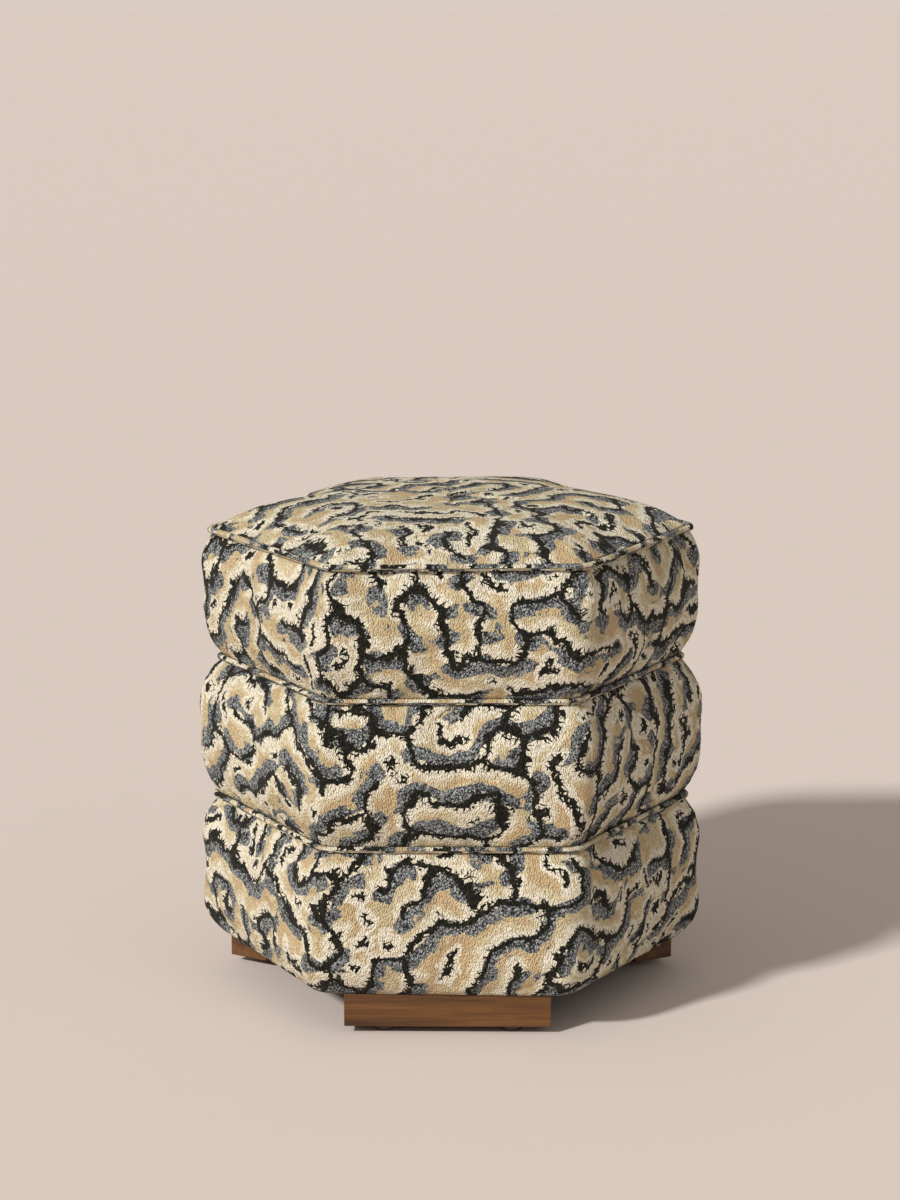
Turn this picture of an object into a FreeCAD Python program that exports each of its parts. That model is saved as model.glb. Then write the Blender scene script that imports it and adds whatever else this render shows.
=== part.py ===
import FreeCAD, Part
import math
import os
import Sketcher
from FreeCAD import Placement, Rotation, Vector

# Hexagonal padded tuffet: three welted tiers and a domed seat over a plywood drum, on three
# wooden plinth blocks with nail-on glides. Millimetres, +Z up. The origin is on the floor on
# the centre line, a flat side looks towards -Y and the corners lie on and around the X axis.

# Driving dimensions: alias, value, what it is
SIZES = [
    ("core_apothem", 178, "centre line to the flat face of the plywood drum"),
    ("core_corner_radius", 18, "rounding of the drum's corners"),
    ("panel_thickness", 12, "drum side panels"),
    ("base_thickness", 15, "base board"),
    ("base_reach", 5, "base board beyond the drum"),
    ("deck_thickness", 15, "deck board on top of the drum"),
    ("deck_drop", 19, "deck's top face below the seat seam"),
    ("corner_block_leg", 44, "glue block's width along each panel"),
    ("vent_diameter", 25, "air holes in both boards"),
    ("vent_circle", 62, "centre line to the air holes"),
    ("glide_height", 7, "glide below its plinth block"),
    ("glide_diameter", 22, "glide across"),
    ("glide_bevel", 1.5, "bevel of the glide's lower edge"),
    ("glide_inset", 35.5, "glide centre from the end of its block"),
    ("glide_setback", 19.5, "glide centre behind the block's outer face"),
    ("nail_diameter", 2.5, "glide nail's shank"),
    ("nail_length", 20, "glide nail's shank from its head"),
    ("nail_head_diameter", 8, "glide nail's head across"),
    ("nail_head_height", 1.2, "glide nail's head"),
    ("nail_recess", 2.5, "nail head above the floor"),
    ("block_length", 185, "plinth block along its side"),
    ("block_height", 30, "plinth block's height"),
    ("block_depth", 40, "plinth block from its outer face inward"),
    ("block_setback", 1.5, "block's outer face behind the lower cover's hem edge"),
    ("block_edge", 0.8, "plinth block's eased edges"),
    ("screw_diameter", 4.2, "wood screw's shank"),
    ("screw_head_diameter", 8.4, "wood screw's head across"),
    ("screw_head_height", 3, "wood screw's countersunk head"),
    ("screw_clearance", 0.2, "round each screw, nail and staple leg"),
    ("head_clearance", 0.8, "round a plinth screw's head in its bore"),
    ("plinth_screw_inset", 14.5, "screw from the end of its block"),
    ("plinth_screw_setback", 22, "screw behind the block's outer face"),
    ("plinth_screw_length", 32, "plinth screw's shank from its head"),
    ("plinth_bore_depth", 12, "bore for the plinth screw's head"),
    ("board_screw_length", 45, "base and deck screws, head included"),
    ("board_screw_circle", 177, "centre line to the base and deck screws"),
    ("fabric_thickness", 1.4, "upholstery fabric"),
    ("fit_gap", 0.3, "between neighbouring soft layers"),
    ("wadding_thickness", 4, "wadding at a tier's fullest"),
    ("wadding_seam", 1.2, "wadding drawn thin at a seam"),
    ("hem_width", 18, "lower cover turned under the base board"),
    ("hem_reach", 13.5, "lower cover's bottom edge beyond the drum"),
    ("lower_height", 134.4, "hem to the lower seam"),
    ("middle_height", 133, "lower seam to the upper seam"),
    ("upper_height", 121, "upper seam to the seat seam"),
    ("lower_bulge", 28.3, "lower tier's fullest beyond the drum"),
    ("middle_bulge", 29, "middle tier's fullest beyond the drum"),
    ("upper_bulge", 25, "upper tier's fullest beyond the drum"),
    ("lower_seam_reach", 16.5, "lower welt's centre beyond the drum"),
    ("upper_seam_reach", 11.7, "upper welt's centre beyond the drum"),
    ("seat_seam_reach", 17.4, "seat welt's centre beyond the drum"),
    ("seam_tuck", 1.2, "covers drawn in behind the welt"),
    ("welt_diameter", 6.4, "finished welt across"),
    ("welt_wall", 0.8, "welt's fabric"),
    ("welt_tail", 1.4, "welt's seam allowance, two layers"),
    ("welt_cord_gap", 0.2, "between the welt's fabric and its cord"),
    ("crown_height", 31.5, "seat's crown above the seat seam"),
    ("seat_wadding", 6, "wadding over the seat foam at the crown"),
    ("dust_thickness", 0.6, "dust cover"),
    ("dust_reach", 6, "dust cover beyond the drum"),
    ("staple_width", 10, "staple's crown"),
    ("staple_wire", 1, "staple's wire"),
    ("staple_leg", 9, "staple's legs"),
    ("staple_pitch", 40, "between staples along a side"),
    ("staple_reach", 1, "line of staples beyond the drum"),
]

# How the soft forms are drawn, as shares of a tier's height or of the seat's width
SHOULDERS = {"lower": (0.28, 0.34), "middle": (0.42, 0.39), "upper": (0.44, 0.30)}
DOME_STATIONS = (1.0, 0.97, 0.91, 0.81, 0.67, 0.48, 0.26, 0.08)
DOME_POWER = 4.6
DOME_ROUNDING = 0.5

# The hexagon's sides and corners by name, with their direction from the centre line
SIDES = {"back": 90, "back_left": 150, "front_left": 210, "front": 270, "front_right": 330, "back_right": 30}
CORNERS = {"right": 0, "back_right": 60, "back_left": 120, "left": 180, "front_left": 240, "front_right": 300}
PLINTH_SIDES = ("front", "back_right", "back_left")
STAPLES_PER_SIDE = 4

doc = FreeCAD.newDocument("tuffet")
sheet = doc.addObject("Spreadsheet::Sheet", "Sizes")
for row, (alias, number, meaning) in enumerate(SIZES, start=1):
    sheet.set(f"A{row}", meaning)
    sheet.set(f"B{row}", str(number))
    sheet.setAlias(f"B{row}", alias)
doc.recompute()

# Levels and reaches that several pieces share, as expressions of the sheet
HEM_BOTTOM = "(Sizes.glide_height + Sizes.block_height + Sizes.dust_thickness)"
DUST_BOTTOM = "(Sizes.glide_height + Sizes.block_height)"
BASE_BOTTOM = f"({HEM_BOTTOM} + Sizes.fabric_thickness)"
BASE_TOP = f"({BASE_BOTTOM} + Sizes.base_thickness)"
LOWER_SEAM = f"({HEM_BOTTOM} + Sizes.lower_height)"
UPPER_SEAM = f"({LOWER_SEAM} + Sizes.middle_height)"
SEAT_SEAM = f"({UPPER_SEAM} + Sizes.upper_height)"
DECK_TOP = f"({SEAT_SEAM} - Sizes.deck_drop)"
DECK_BOTTOM = f"({DECK_TOP} - Sizes.deck_thickness)"
HALF_TAIL = "(Sizes.welt_tail / 2)"
WELT_RADIUS = "(Sizes.welt_diameter / 2)"
DRUM = "Sizes.core_apothem"
DRUM_RADIUS = "Sizes.core_corner_radius"
DRUM_INSIDE = "(Sizes.core_apothem - Sizes.panel_thickness)"
DRUM_CLEAR = "(Sizes.core_apothem + Sizes.fit_gap)"
HEM_EDGE = "(Sizes.core_apothem + Sizes.hem_reach)"
BLOCK_FACE = f"({HEM_EDGE} - Sizes.block_setback)"
SEAM_REACH = {
    "lower": "Sizes.lower_seam_reach",
    "upper": "Sizes.upper_seam_reach",
    "seat": "Sizes.seat_seam_reach",
}
SEAM_LEVEL = {"lower": LOWER_SEAM, "upper": UPPER_SEAM, "seat": SEAT_SEAM}


def value(expression):
    """The number that an expression of the sheet gives."""
    return float(sheet.evalExpression(expression))


def seam_root(seam):
    """Apothem at which the covers turn in behind a welt."""
    return f"(Sizes.core_apothem + {SEAM_REACH[seam]} - {WELT_RADIUS} - Sizes.seam_tuck)"


def corner_radius(apothem):
    """Corner rounding of a layer that follows the drum at that apothem."""
    return f"({DRUM_RADIUS} + ({apothem}) - {DRUM})"


# Bodies, planes, sketches and their dimensions
def new_body(label):
    body = doc.addObject("PartDesign::Body", label)
    body.Label = label
    return body


def origin_feature(body, role):
    return next(item for item in body.Origin.OriginFeatures if item.Role == role)


def new_sketch(body, name, role, along_x="0", along_y="0", along_normal="0"):
    sketch = body.newObject("Sketcher::SketchObject", name)
    sketch.AttachmentSupport = [(origin_feature(body, role), "")]
    sketch.MapMode = "FlatFace"
    for axis, expression in (("x", along_x), ("y", along_y), ("z", along_normal)):
        if expression != "0":
            sketch.setExpression(f"AttachmentOffset.Base.{axis}", expression)
    return sketch


def constrain(sketch, rules):
    """Add constraints given as (kind, where) or (kind, where, expression), all in one solve,
    and bind those with an expression to the sheet."""
    made = []
    for kind, where, *expression in rules:
        numbers = [value(text) for text in expression]
        made.append(Sketcher.Constraint(kind, *where, *numbers))
    for index, rule in zip(sketch.addConstraint(made), rules):
        if len(rule) > 2:
            sketch.setExpression(f"Constraints[{index}]", rule[2])


def pinned(point, x, y):
    """Rules that hold a sketch point at distances from the sketch's origin."""
    return [("DistanceX", (-1, 1, *point), x), ("DistanceY", (-1, 1, *point), y)]


def outline(sketch, points):
    """Close a line through the points. A third entry tells that the stretch that starts there
    is an arc, upright where it meets the next point ("upright_end") or where it starts
    ("upright_start"), always bulging towards +X."""
    places = [Vector(value(point[0]), value(point[1]), 0) for point in points]
    forms = [point[2] if len(point) > 2 else "line" for point in points]
    count = len(points)
    ends = []
    for index, form in enumerate(forms):
        start, end = places[index], places[(index + 1) % count]
        if form == "line":
            ends.append((1, 2))
            sketch.addGeometry(Part.LineSegment(start, end), False)
            continue
        full, drawn_in = (start, end) if form == "upright_start" else (end, start)
        depth = full.x - drawn_in.x
        rise = full.y - drawn_in.y
        radius = (depth * depth + rise * rise) / (2 * depth)
        centre = Vector(full.x - radius, full.y, 0)
        angles = [math.atan2(place.y - centre.y, place.x - centre.x) for place in (start, end)]
        ends.append((1, 2) if angles[0] < angles[1] else (2, 1))
        circle = Part.Circle(centre, Vector(0, 0, 1), radius)
        sketch.addGeometry(Part.ArcOfCircle(circle, min(angles), max(angles)), False)
    rules = []
    for index in range(count):
        after = (index + 1) % count
        smooth = forms[index] == "upright_end" or forms[after] == "upright_start"
        kind = "Tangent" if smooth else "Coincident"
        rules.append((kind, (index, ends[index][1], after, ends[after][0])))
        rules += pinned((index, ends[index][0]), points[index][0], points[index][1])
    constrain(sketch, rules)


def rounded_hexagon(body, name, apothem, radius, level="0"):
    """A regular hexagon with rounded corners round the centre line, its first point in the
    middle of the back side, where a swept profile stands."""
    sketch = new_sketch(body, name, "XY_Plane", along_normal=level)
    flat, bend = value(apothem), value(radius)
    half_side = (flat - bend) * math.tan(math.radians(30))
    middle = Vector(0, flat, 0)

    def side_end(turn, way):
        return Rotation(Vector(0, 0, 1), 60 * turn) * Vector(-way * half_side, flat, 0)

    shapes = [Part.LineSegment(middle, side_end(0, 1))]
    for turn in range(6):
        start = math.radians(90 + 60 * turn)
        aside = Vector(-half_side, flat - bend, 0)
        circle = Part.Circle(Rotation(Vector(0, 0, 1), 60 * turn) * aside, Vector(0, 0, 1), bend)
        shapes.append(Part.ArcOfCircle(circle, start, start + math.radians(60)))
        last = middle if turn == 5 else side_end(turn + 1, 1)
        shapes.append(Part.LineSegment(side_end(turn + 1, -1), last))
    sketch.addGeometry(shapes, False)
    final = len(shapes) - 1
    rules = [("Tangent", (index, 2, index + 1, 1)) for index in range(final)]
    rules += [("Coincident", (final, 2, 0, 1)), ("PointOnObject", (0, 1, -2))]
    rules += [("Horizontal", (0,)), ("Horizontal", (final,))]
    rules += [("Equal", (1, corner)) for corner in range(3, final, 2)]
    rules += [("Angle", (2 * turn, math.radians(180 + 60 * turn))) for turn in range(1, 6)]
    rules += [("Distance", (-1, 1, 2 * turn), apothem) for turn in range(6)]
    rules.append(("Radius", (1,), radius))
    constrain(sketch, rules)
    return sketch


def circles(body, name, diameter, places, level="0"):
    """Equal circles at (x, y) places on a level plane."""
    sketch = new_sketch(body, name, "XY_Plane", along_normal=level)
    rules = []
    for index, (x, y) in enumerate(places):
        centre = Vector(value(x), value(y), 0)
        sketch.addGeometry(Part.Circle(centre, Vector(0, 0, 1), value(diameter) / 2), False)
        rules += pinned((index, 3), x, y) + [("Diameter", (index,), diameter)]
    constrain(sketch, rules)
    return sketch


def rectangles(body, name, width, depth, places, level="0"):
    """Equal rectangles centred at (x, y) places on a level plane."""
    sketch = new_sketch(body, name, "XY_Plane", along_normal=level)
    rules = []
    for index, (x, y) in enumerate(places):
        corners = [
            (f"{x} {sign_x} ({width}) / 2", f"{y} {sign_y} ({depth}) / 2")
            for sign_x, sign_y in (("-", "-"), ("+", "-"), ("+", "+"), ("-", "+"))
        ]
        first = 4 * index
        for edge in range(4):
            start = Vector(value(corners[edge][0]), value(corners[edge][1]), 0)
            following = corners[(edge + 1) % 4]
            end = Vector(value(following[0]), value(following[1]), 0)
            sketch.addGeometry(Part.LineSegment(start, end), False)
            after = first + (edge + 1) % 4
            rules.append(("Coincident", (first + edge, 2, after, 1)))
            rules += pinned((first + edge, 1), *corners[edge])
    constrain(sketch, rules)
    return sketch


# Features on a body
def pad(body, name, sketch, length):
    feature = body.newObject("PartDesign::Pad", name)
    feature.Profile = sketch
    feature.setExpression("Length", length)
    body.Tip = feature
    return feature


def pocket(body, name, sketch, length):
    """Cut upwards from the sketch's plane."""
    feature = body.newObject("PartDesign::Pocket", name)
    feature.Profile = sketch
    feature.Reversed = True
    feature.setExpression("Length", length)
    body.Tip = feature
    return feature


def turned(body, kind, name, sketch):
    """Revolution or Groove of a half profile about the sketch's own upright axis."""
    feature = body.newObject(f"PartDesign::{kind}", name)
    feature.Profile = sketch
    feature.ReferenceAxis = (sketch, ["V_Axis"])
    feature.Angle = 360
    body.Tip = feature
    return feature


def round_the_centre(body, name, features, count):
    pattern = body.newObject("PartDesign::PolarPattern", name)
    pattern.Originals = features
    pattern.Axis = (origin_feature(body, "Z_Axis"), [""])
    pattern.Angle = 360
    pattern.Occurrences = count
    body.Tip = pattern
    return pattern


def sweep(body, kind, name, profile, path):
    feature = body.newObject(f"PartDesign::{kind}", name)
    feature.Profile = profile
    feature.Spine = (path, [])
    body.Tip = feature
    return feature


def turn_to(body, angle):
    """Turn a body that is drawn at one side or corner to another."""
    body.Placement = Placement(Vector(0, 0, 0), Rotation(Vector(0, 0, 1), angle))


# Screws, nails and the holes they need
def screw_outline(sketch, length, clearance="0", upwards=True):
    """Half outline of a countersunk screw on its axis, the head's flat face at height 0."""
    sign = "" if upwards else "-"
    head = f"(Sizes.screw_head_diameter / 2 + {clearance})"
    shank = f"(Sizes.screw_diameter / 2 + {clearance})"
    neck = f"{sign}(Sizes.screw_head_height)"
    tip = f"{sign}({length} + {clearance})"
    points = [("0", "0"), (head, "0"), (shank, neck), (shank, tip), ("0", tip)]
    outline(sketch, points if upwards else [points[0]] + points[:0:-1])


def headed_outline(sketch, head_diameter, head_height, shank_diameter, total):
    """Half outline of a flat-headed screw or nail on its axis, head down, with a short point."""
    head, shank = f"({head_diameter} / 2)", f"({shank_diameter} / 2)"
    outline(sketch, [
        ("0", "0"),
        (head, "0"),
        (head, head_height),
        (shank, head_height),
        (shank, f"{total} - {shank_diameter}"),
        ("0", total),
    ])


def screw_ring(body, kind, name, level, clearance="0", upwards=True):
    """Six base or deck screws, or the holes for them, one in each corner block."""
    sketch = new_sketch(body, f"{name}_outline", "XZ_Plane", "Sizes.board_screw_circle", level)
    screw_outline(sketch, "Sizes.board_screw_length", clearance, upwards)
    first = turned(body, kind, name, sketch)
    return round_the_centre(body, f"{name}_ring", [first], len(CORNERS))


def plinth_screw_places():
    half = "(Sizes.block_length / 2 - Sizes.plinth_screw_inset)"
    inward = f"({BLOCK_FACE} - Sizes.plinth_screw_setback)"
    return [(f"-{half}", f"-{inward}"), (half, f"-{inward}")]


def glide_places():
    half = "(Sizes.block_length / 2 - Sizes.glide_inset)"
    inward = f"({BLOCK_FACE} - Sizes.glide_setback)"
    return [(f"-{half}", f"-{inward}"), (half, f"-{inward}")]


# Base: glides, plinth blocks, dust cover and their fasteners
PLINTH_BORE_TOP = "(Sizes.glide_height + Sizes.plinth_bore_depth)"
NAIL_HOLE = "(Sizes.nail_diameter + 2 * Sizes.screw_clearance)"
NAIL_HEAD_TOP = "(Sizes.nail_recess + Sizes.nail_head_height)"
SCREW_HOLE = "(Sizes.screw_diameter + 2 * Sizes.screw_clearance)"
HEAD_BORE = "(Sizes.screw_head_diameter + 2 * Sizes.head_clearance)"


def plinth_block(side):
    body = new_body(f"plinth_block_{side}")
    centre = f"-({BLOCK_FACE} - Sizes.block_depth / 2)"
    plan = rectangles(body, "plan", "Sizes.block_length", "Sizes.block_depth", [("0", centre)],
                      "Sizes.glide_height")
    block = pad(body, "block", plan, "Sizes.block_height")
    doc.recompute()
    eased = body.newObject("PartDesign::Fillet", "eased_edges")
    eased.Base = (block, [f"Edge{number + 1}" for number in range(len(block.Shape.Edges))])
    eased.setExpression("Radius", "Sizes.block_edge")
    body.Tip = eased
    bores = circles(body, "bore_plan", HEAD_BORE, plinth_screw_places(), "Sizes.glide_height")
    pocket(body, "head_bores", bores, "Sizes.plinth_bore_depth")
    holes = circles(body, "hole_plan", SCREW_HOLE, plinth_screw_places(), "Sizes.glide_height")
    pocket(body, "screw_holes", holes, "Sizes.block_height")
    nails = circles(body, "nail_plan", NAIL_HOLE, glide_places(), "Sizes.glide_height")
    depth = f"({NAIL_HEAD_TOP} + Sizes.nail_length - Sizes.glide_height + Sizes.screw_clearance)"
    pocket(body, "nail_holes", nails, depth)
    turn_to(body, SIDES[side] - SIDES["front"])


def glide(side, number):
    body = new_body(f"glide_{side}_{number + 1}")
    x, y = glide_places()[number]
    sketch = new_sketch(body, "outline", "XZ_Plane", x, "0", f"-({y})")
    radius = "(Sizes.glide_diameter / 2)"
    hole = f"({NAIL_HOLE} / 2)"
    recess = "(Sizes.nail_head_diameter / 2 + Sizes.screw_clearance)"
    outline(sketch, [
        (recess, "0"),
        (f"{radius} - Sizes.glide_bevel", "0"),
        (radius, "Sizes.glide_bevel"),
        (radius, "Sizes.glide_height"),
        (hole, "Sizes.glide_height"),
        (hole, NAIL_HEAD_TOP),
        (recess, NAIL_HEAD_TOP),
    ])
    turned(body, "Revolution", "glide", sketch)
    turn_to(body, SIDES[side] - SIDES["front"])


def glide_nails():
    body = new_body("glide_nails")
    pair = []
    for number, (x, y) in enumerate(glide_places()):
        sketch = new_sketch(body, f"outline_{number}", "XZ_Plane", x, "Sizes.nail_recess", f"-({y})")
        headed_outline(sketch, "Sizes.nail_head_diameter", "Sizes.nail_head_height",
                       "Sizes.nail_diameter", "(Sizes.nail_head_height + Sizes.nail_length)")
        pair.append(turned(body, "Revolution", f"nail_{number}", sketch))
    round_the_centre(body, "all_nails", pair, len(PLINTH_SIDES))


def plinth_screws():
    body = new_body("plinth_screws")
    pair = []
    for number, (x, y) in enumerate(plinth_screw_places()):
        head_bottom = f"({PLINTH_BORE_TOP} - Sizes.screw_head_height)"
        sketch = new_sketch(body, f"outline_{number}", "XZ_Plane", x, head_bottom, f"-({y})")
        headed_outline(sketch, "Sizes.screw_head_diameter", "Sizes.screw_head_height",
                       "Sizes.screw_diameter", "(Sizes.screw_head_height + Sizes.plinth_screw_length)")
        pair.append(turned(body, "Revolution", f"screw_{number}", sketch))
    round_the_centre(body, "all_screws", pair, len(PLINTH_SIDES))


def staple_places():
    """Middles of the staples on the back side, which the plinth blocks leave free."""
    first = (STAPLES_PER_SIDE - 1) / 2
    line = f"({DRUM} + Sizes.staple_reach)"
    return [(f"{index - first} * Sizes.staple_pitch", line) for index in range(STAPLES_PER_SIDE)]


def leg_places():
    half = "(Sizes.staple_width - Sizes.staple_wire) / 2"
    return [(f"{x} {sign} {half}", y) for x, y in staple_places() for sign in ("-", "+")]


def staple_slots(body, name, level, length):
    """Slots for the legs of all the staples in a layer that they pass through."""
    width = "(Sizes.staple_wire + 2 * Sizes.screw_clearance)"
    plan = rectangles(body, f"{name}_plan", width, width, leg_places(), level)
    slots = pocket(body, name, plan, length)
    round_the_centre(body, f"{name}_ring", [slots], len(PLINTH_SIDES))


def dust_cover_staples():
    body = new_body("dust_cover_staples")
    wire = "Sizes.staple_wire"
    bottom = f"({DUST_BOTTOM} - {wire})"
    crowns = rectangles(body, "crown_plan", "Sizes.staple_width", wire, staple_places(), bottom)
    crown = pad(body, "crowns", crowns, wire)
    legs = rectangles(body, "leg_plan", wire, wire, leg_places(), bottom)
    leg = pad(body, "legs", legs, f"Sizes.staple_leg + {wire}")
    round_the_centre(body, "all_staples", [crown, leg], len(PLINTH_SIDES))


def plinth_screw_holes(body, name, level, length):
    plan = circles(body, f"{name}_plan", SCREW_HOLE, plinth_screw_places(), level)
    holes = pocket(body, name, plan, length)
    round_the_centre(body, f"{name}_ring", [holes], len(PLINTH_SIDES))


def dust_cover():
    body = new_body("dust_cover")
    edge = f"({DRUM} + Sizes.dust_reach)"
    plan = rounded_hexagon(body, "plan", edge, corner_radius(edge), DUST_BOTTOM)
    pad(body, "sheet", plan, "Sizes.dust_thickness")
    plinth_screw_holes(body, "screw_holes", DUST_BOTTOM, "Sizes.dust_thickness")
    staple_slots(body, "staple_slots", DUST_BOTTOM, "Sizes.dust_thickness")


# Frame: boards, drum panels and glue blocks
def vent_holes(body, level, length):
    plan = circles(body, "vent_plan", "Sizes.vent_diameter", [("0", "Sizes.vent_circle")], level)
    vent = pocket(body, "vent", plan, length)
    round_the_centre(body, "vents", [vent], 3)


def base_board():
    body = new_body("base_board")
    edge = f"({DRUM} + Sizes.base_reach)"
    plan = rounded_hexagon(body, "plan", edge, corner_radius(edge), BASE_BOTTOM)
    pad(body, "board", plan, "Sizes.base_thickness")
    vent_holes(body, BASE_BOTTOM, "Sizes.base_thickness")
    screw_top = f"({PLINTH_BORE_TOP} + Sizes.plinth_screw_length + Sizes.screw_clearance)"
    plinth_screw_holes(body, "plinth_holes", BASE_BOTTOM, f"{screw_top} - {BASE_BOTTOM}")
    leg_top = f"({DUST_BOTTOM} + Sizes.staple_leg + Sizes.screw_clearance)"
    staple_slots(body, "staple_slots", BASE_BOTTOM, f"{leg_top} - {BASE_BOTTOM}")
    screw_ring(body, "Groove", "screw_hole", BASE_BOTTOM, "Sizes.screw_clearance")


def deck_board():
    body = new_body("deck_board")
    plan = rounded_hexagon(body, "plan", DRUM, DRUM_RADIUS, DECK_BOTTOM)
    pad(body, "board", plan, "Sizes.deck_thickness")
    vent_holes(body, DECK_BOTTOM, "Sizes.deck_thickness")
    screw_ring(body, "Groove", "screw_hole", DECK_TOP, "Sizes.screw_clearance", upwards=False)


def side_panel(side):
    """A panel drawn at the back, mitred at both ends, its outer corners rounded."""
    body = new_body(f"side_panel_{side}")
    sketch = new_sketch(body, "plan", "XY_Plane", along_normal=BASE_TOP)
    inner_half = f"({DRUM_INSIDE} * tan(30))"
    outer_half = f"(({DRUM} - {DRUM_RADIUS}) * tan(30))"
    apex = f"(({DRUM} - {DRUM_RADIUS}) / cos(30) + {DRUM_RADIUS})"
    points = [
        (f"-{inner_half}", DRUM_INSIDE),
        (inner_half, DRUM_INSIDE),
        (f"{apex} * sin(30)", f"{apex} * cos(30)"),
        (outer_half, DRUM),
        (f"-{outer_half}", DRUM),
        (f"-{apex} * sin(30)", f"{apex} * cos(30)"),
    ]
    places = [Vector(value(x), value(y), 0) for x, y in points]
    bend = value(DRUM_RADIUS)
    centres = [Vector(way * value(outer_half), value(DRUM) - bend, 0) for way in (1, -1)]
    circle = [Part.Circle(centre, Vector(0, 0, 1), bend) for centre in centres]
    sketch.addGeometry([
        Part.LineSegment(places[0], places[1]),
        Part.LineSegment(places[1], places[2]),
        Part.ArcOfCircle(circle[0], math.radians(60), math.radians(90)),
        Part.LineSegment(places[3], places[4]),
        Part.ArcOfCircle(circle[1], math.radians(90), math.radians(120)),
        Part.LineSegment(places[5], places[0]),
    ], False)
    rules = []
    for index in range(6):
        kind = "Tangent" if index in (2, 3) else "Coincident"
        rules.append((kind, (index, 2, (index + 1) % 6, 1)))
        rules += pinned((index, 1), *points[index])
    constrain(sketch, rules)
    pad(body, "panel", sketch, f"{DECK_BOTTOM} - {BASE_TOP}")
    turn_to(body, SIDES[side] - SIDES["back"])


def corner_block(corner):
    """A triangular glue block in the drum's right-hand corner, with the screws' holes."""
    body = new_body(f"corner_block_{corner}")
    sketch = new_sketch(body, "plan", "XY_Plane", along_normal=BASE_TOP)
    apex = f"({DRUM_INSIDE} / cos(30))"
    leg = "Sizes.corner_block_leg"
    back = f"({apex} - {leg} * sin(30))"
    outline(sketch, [(apex, "0"), (back, f"{leg} * cos(30)"), (back, f"-{leg} * cos(30)")])
    pad(body, "block", sketch, f"{DECK_BOTTOM} - {BASE_TOP}")
    place = [("Sizes.board_screw_circle", "0")]
    reach = "(Sizes.board_screw_length + Sizes.screw_clearance)"
    lower = circles(body, "lower_hole_plan", SCREW_HOLE, place, BASE_TOP)
    pocket(body, "lower_hole", lower, f"{reach} - Sizes.base_thickness")
    bottom = f"({DECK_TOP} - {reach})"
    upper = circles(body, "upper_hole_plan", SCREW_HOLE, place, bottom)
    pocket(body, "upper_hole", upper, f"{DECK_BOTTOM} - {bottom}")
    turn_to(body, CORNERS[corner])


def board_screws(label, level, upwards):
    body = new_body(label)
    screw_ring(body, "Revolution", "screw", level, upwards=upwards)


# Tiers: foam, wadding and cover, each swept round the drum
def tier_levels(tier):
    """The planes between which a tier's cover lies."""
    return {
        "lower": (HEM_BOTTOM, f"({LOWER_SEAM} - {HALF_TAIL})"),
        "middle": (f"({LOWER_SEAM} + {HALF_TAIL})", f"({UPPER_SEAM} - {HALF_TAIL})"),
        "upper": (f"({UPPER_SEAM} + {HALF_TAIL})", f"({SEAT_SEAM} - {HALF_TAIL})"),
    }[tier]


def tier_edges(tier):
    """Apothems at which a tier's cover turns in, at its bottom and at its top."""
    return {
        "lower": (HEM_EDGE, seam_root("lower")),
        "middle": (seam_root("lower"), seam_root("upper")),
        "upper": (seam_root("upper"), seam_root("seat")),
    }[tier]


def tier_curve(tier, inset_edge="0", inset_bulge="0", trim="0"):
    """Padded outline of a tier, bottom to top, drawn in from the cover's outside by the insets
    at the seams and at the fullest, and cut short by the trim at both ends."""
    low, high = tier_levels(tier)
    edge_low, edge_high = tier_edges(tier)
    share_low, share_high = SHOULDERS[tier]
    full = f"({DRUM} + Sizes.{tier}_bulge - {inset_bulge})"
    rise = f"({high} - {low})"
    return [
        (f"({edge_low} - {inset_edge})", f"({low} + {trim})", "upright_end"),
        (full, f"({low} + {share_low} * {rise})"),
        (full, f"({high} - {share_high} * {rise})", "upright_start"),
        (f"({edge_high} - {inset_edge})", f"({high} - {trim})"),
    ]


def downwards(curve):
    """The same outline from top to bottom."""
    (x0, y0, _), (x1, y1), (x2, y2, _), (x3, y3) = curve
    return [(x3, y3, "upright_end"), (x2, y2), (x1, y1, "upright_start"), (x0, y0)]


def drum_path(body):
    return rounded_hexagon(body, "path", DRUM, DRUM_RADIUS)


def swept_ring(label, points):
    body = new_body(label)
    path = drum_path(body)
    profile = new_sketch(body, "profile", "YZ_Plane")
    outline(profile, points)
    sweep(body, "AdditivePipe", "ring", profile, path)
    return body


CLOTH = "Sizes.fabric_thickness"
WADDING_OUTSIDE = f"({CLOTH} + Sizes.fit_gap)"
FOAM_AT_SEAM = f"({WADDING_OUTSIDE} + Sizes.wadding_seam + Sizes.fit_gap)"
FOAM_AT_BULGE = f"({WADDING_OUTSIDE} + Sizes.wadding_thickness + Sizes.fit_gap)"


def cover(tier):
    """A tier's cover with its seam allowances turned in, the lower one with its hem."""
    low, high = tier_levels(tier)
    flange = {"lower": f"({HEM_EDGE} - Sizes.hem_width)"}.get(tier, DRUM_CLEAR)
    outside = tier_curve(tier)
    inside = downwards(tier_curve(tier, CLOTH, CLOTH, CLOTH))
    points = [(flange, low)] + outside + [(DRUM_CLEAR, high), (DRUM_CLEAR, f"{high} - {CLOTH}")]
    points += inside + [(flange, f"{low} + {CLOTH}")]
    body = swept_ring(f"cover_{tier}", points)
    if tier == "lower":
        staple_slots(body, "staple_slots", HEM_BOTTOM, CLOTH)


def wadding(tier):
    outside = tier_curve(tier, WADDING_OUTSIDE, WADDING_OUTSIDE, CLOTH)
    inner_edge = f"({WADDING_OUTSIDE} + Sizes.wadding_seam)"
    inner_bulge = f"({WADDING_OUTSIDE} + Sizes.wadding_thickness)"
    swept_ring(f"wadding_{tier}", outside + downwards(tier_curve(tier, inner_edge, inner_bulge, CLOTH)))


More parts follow.
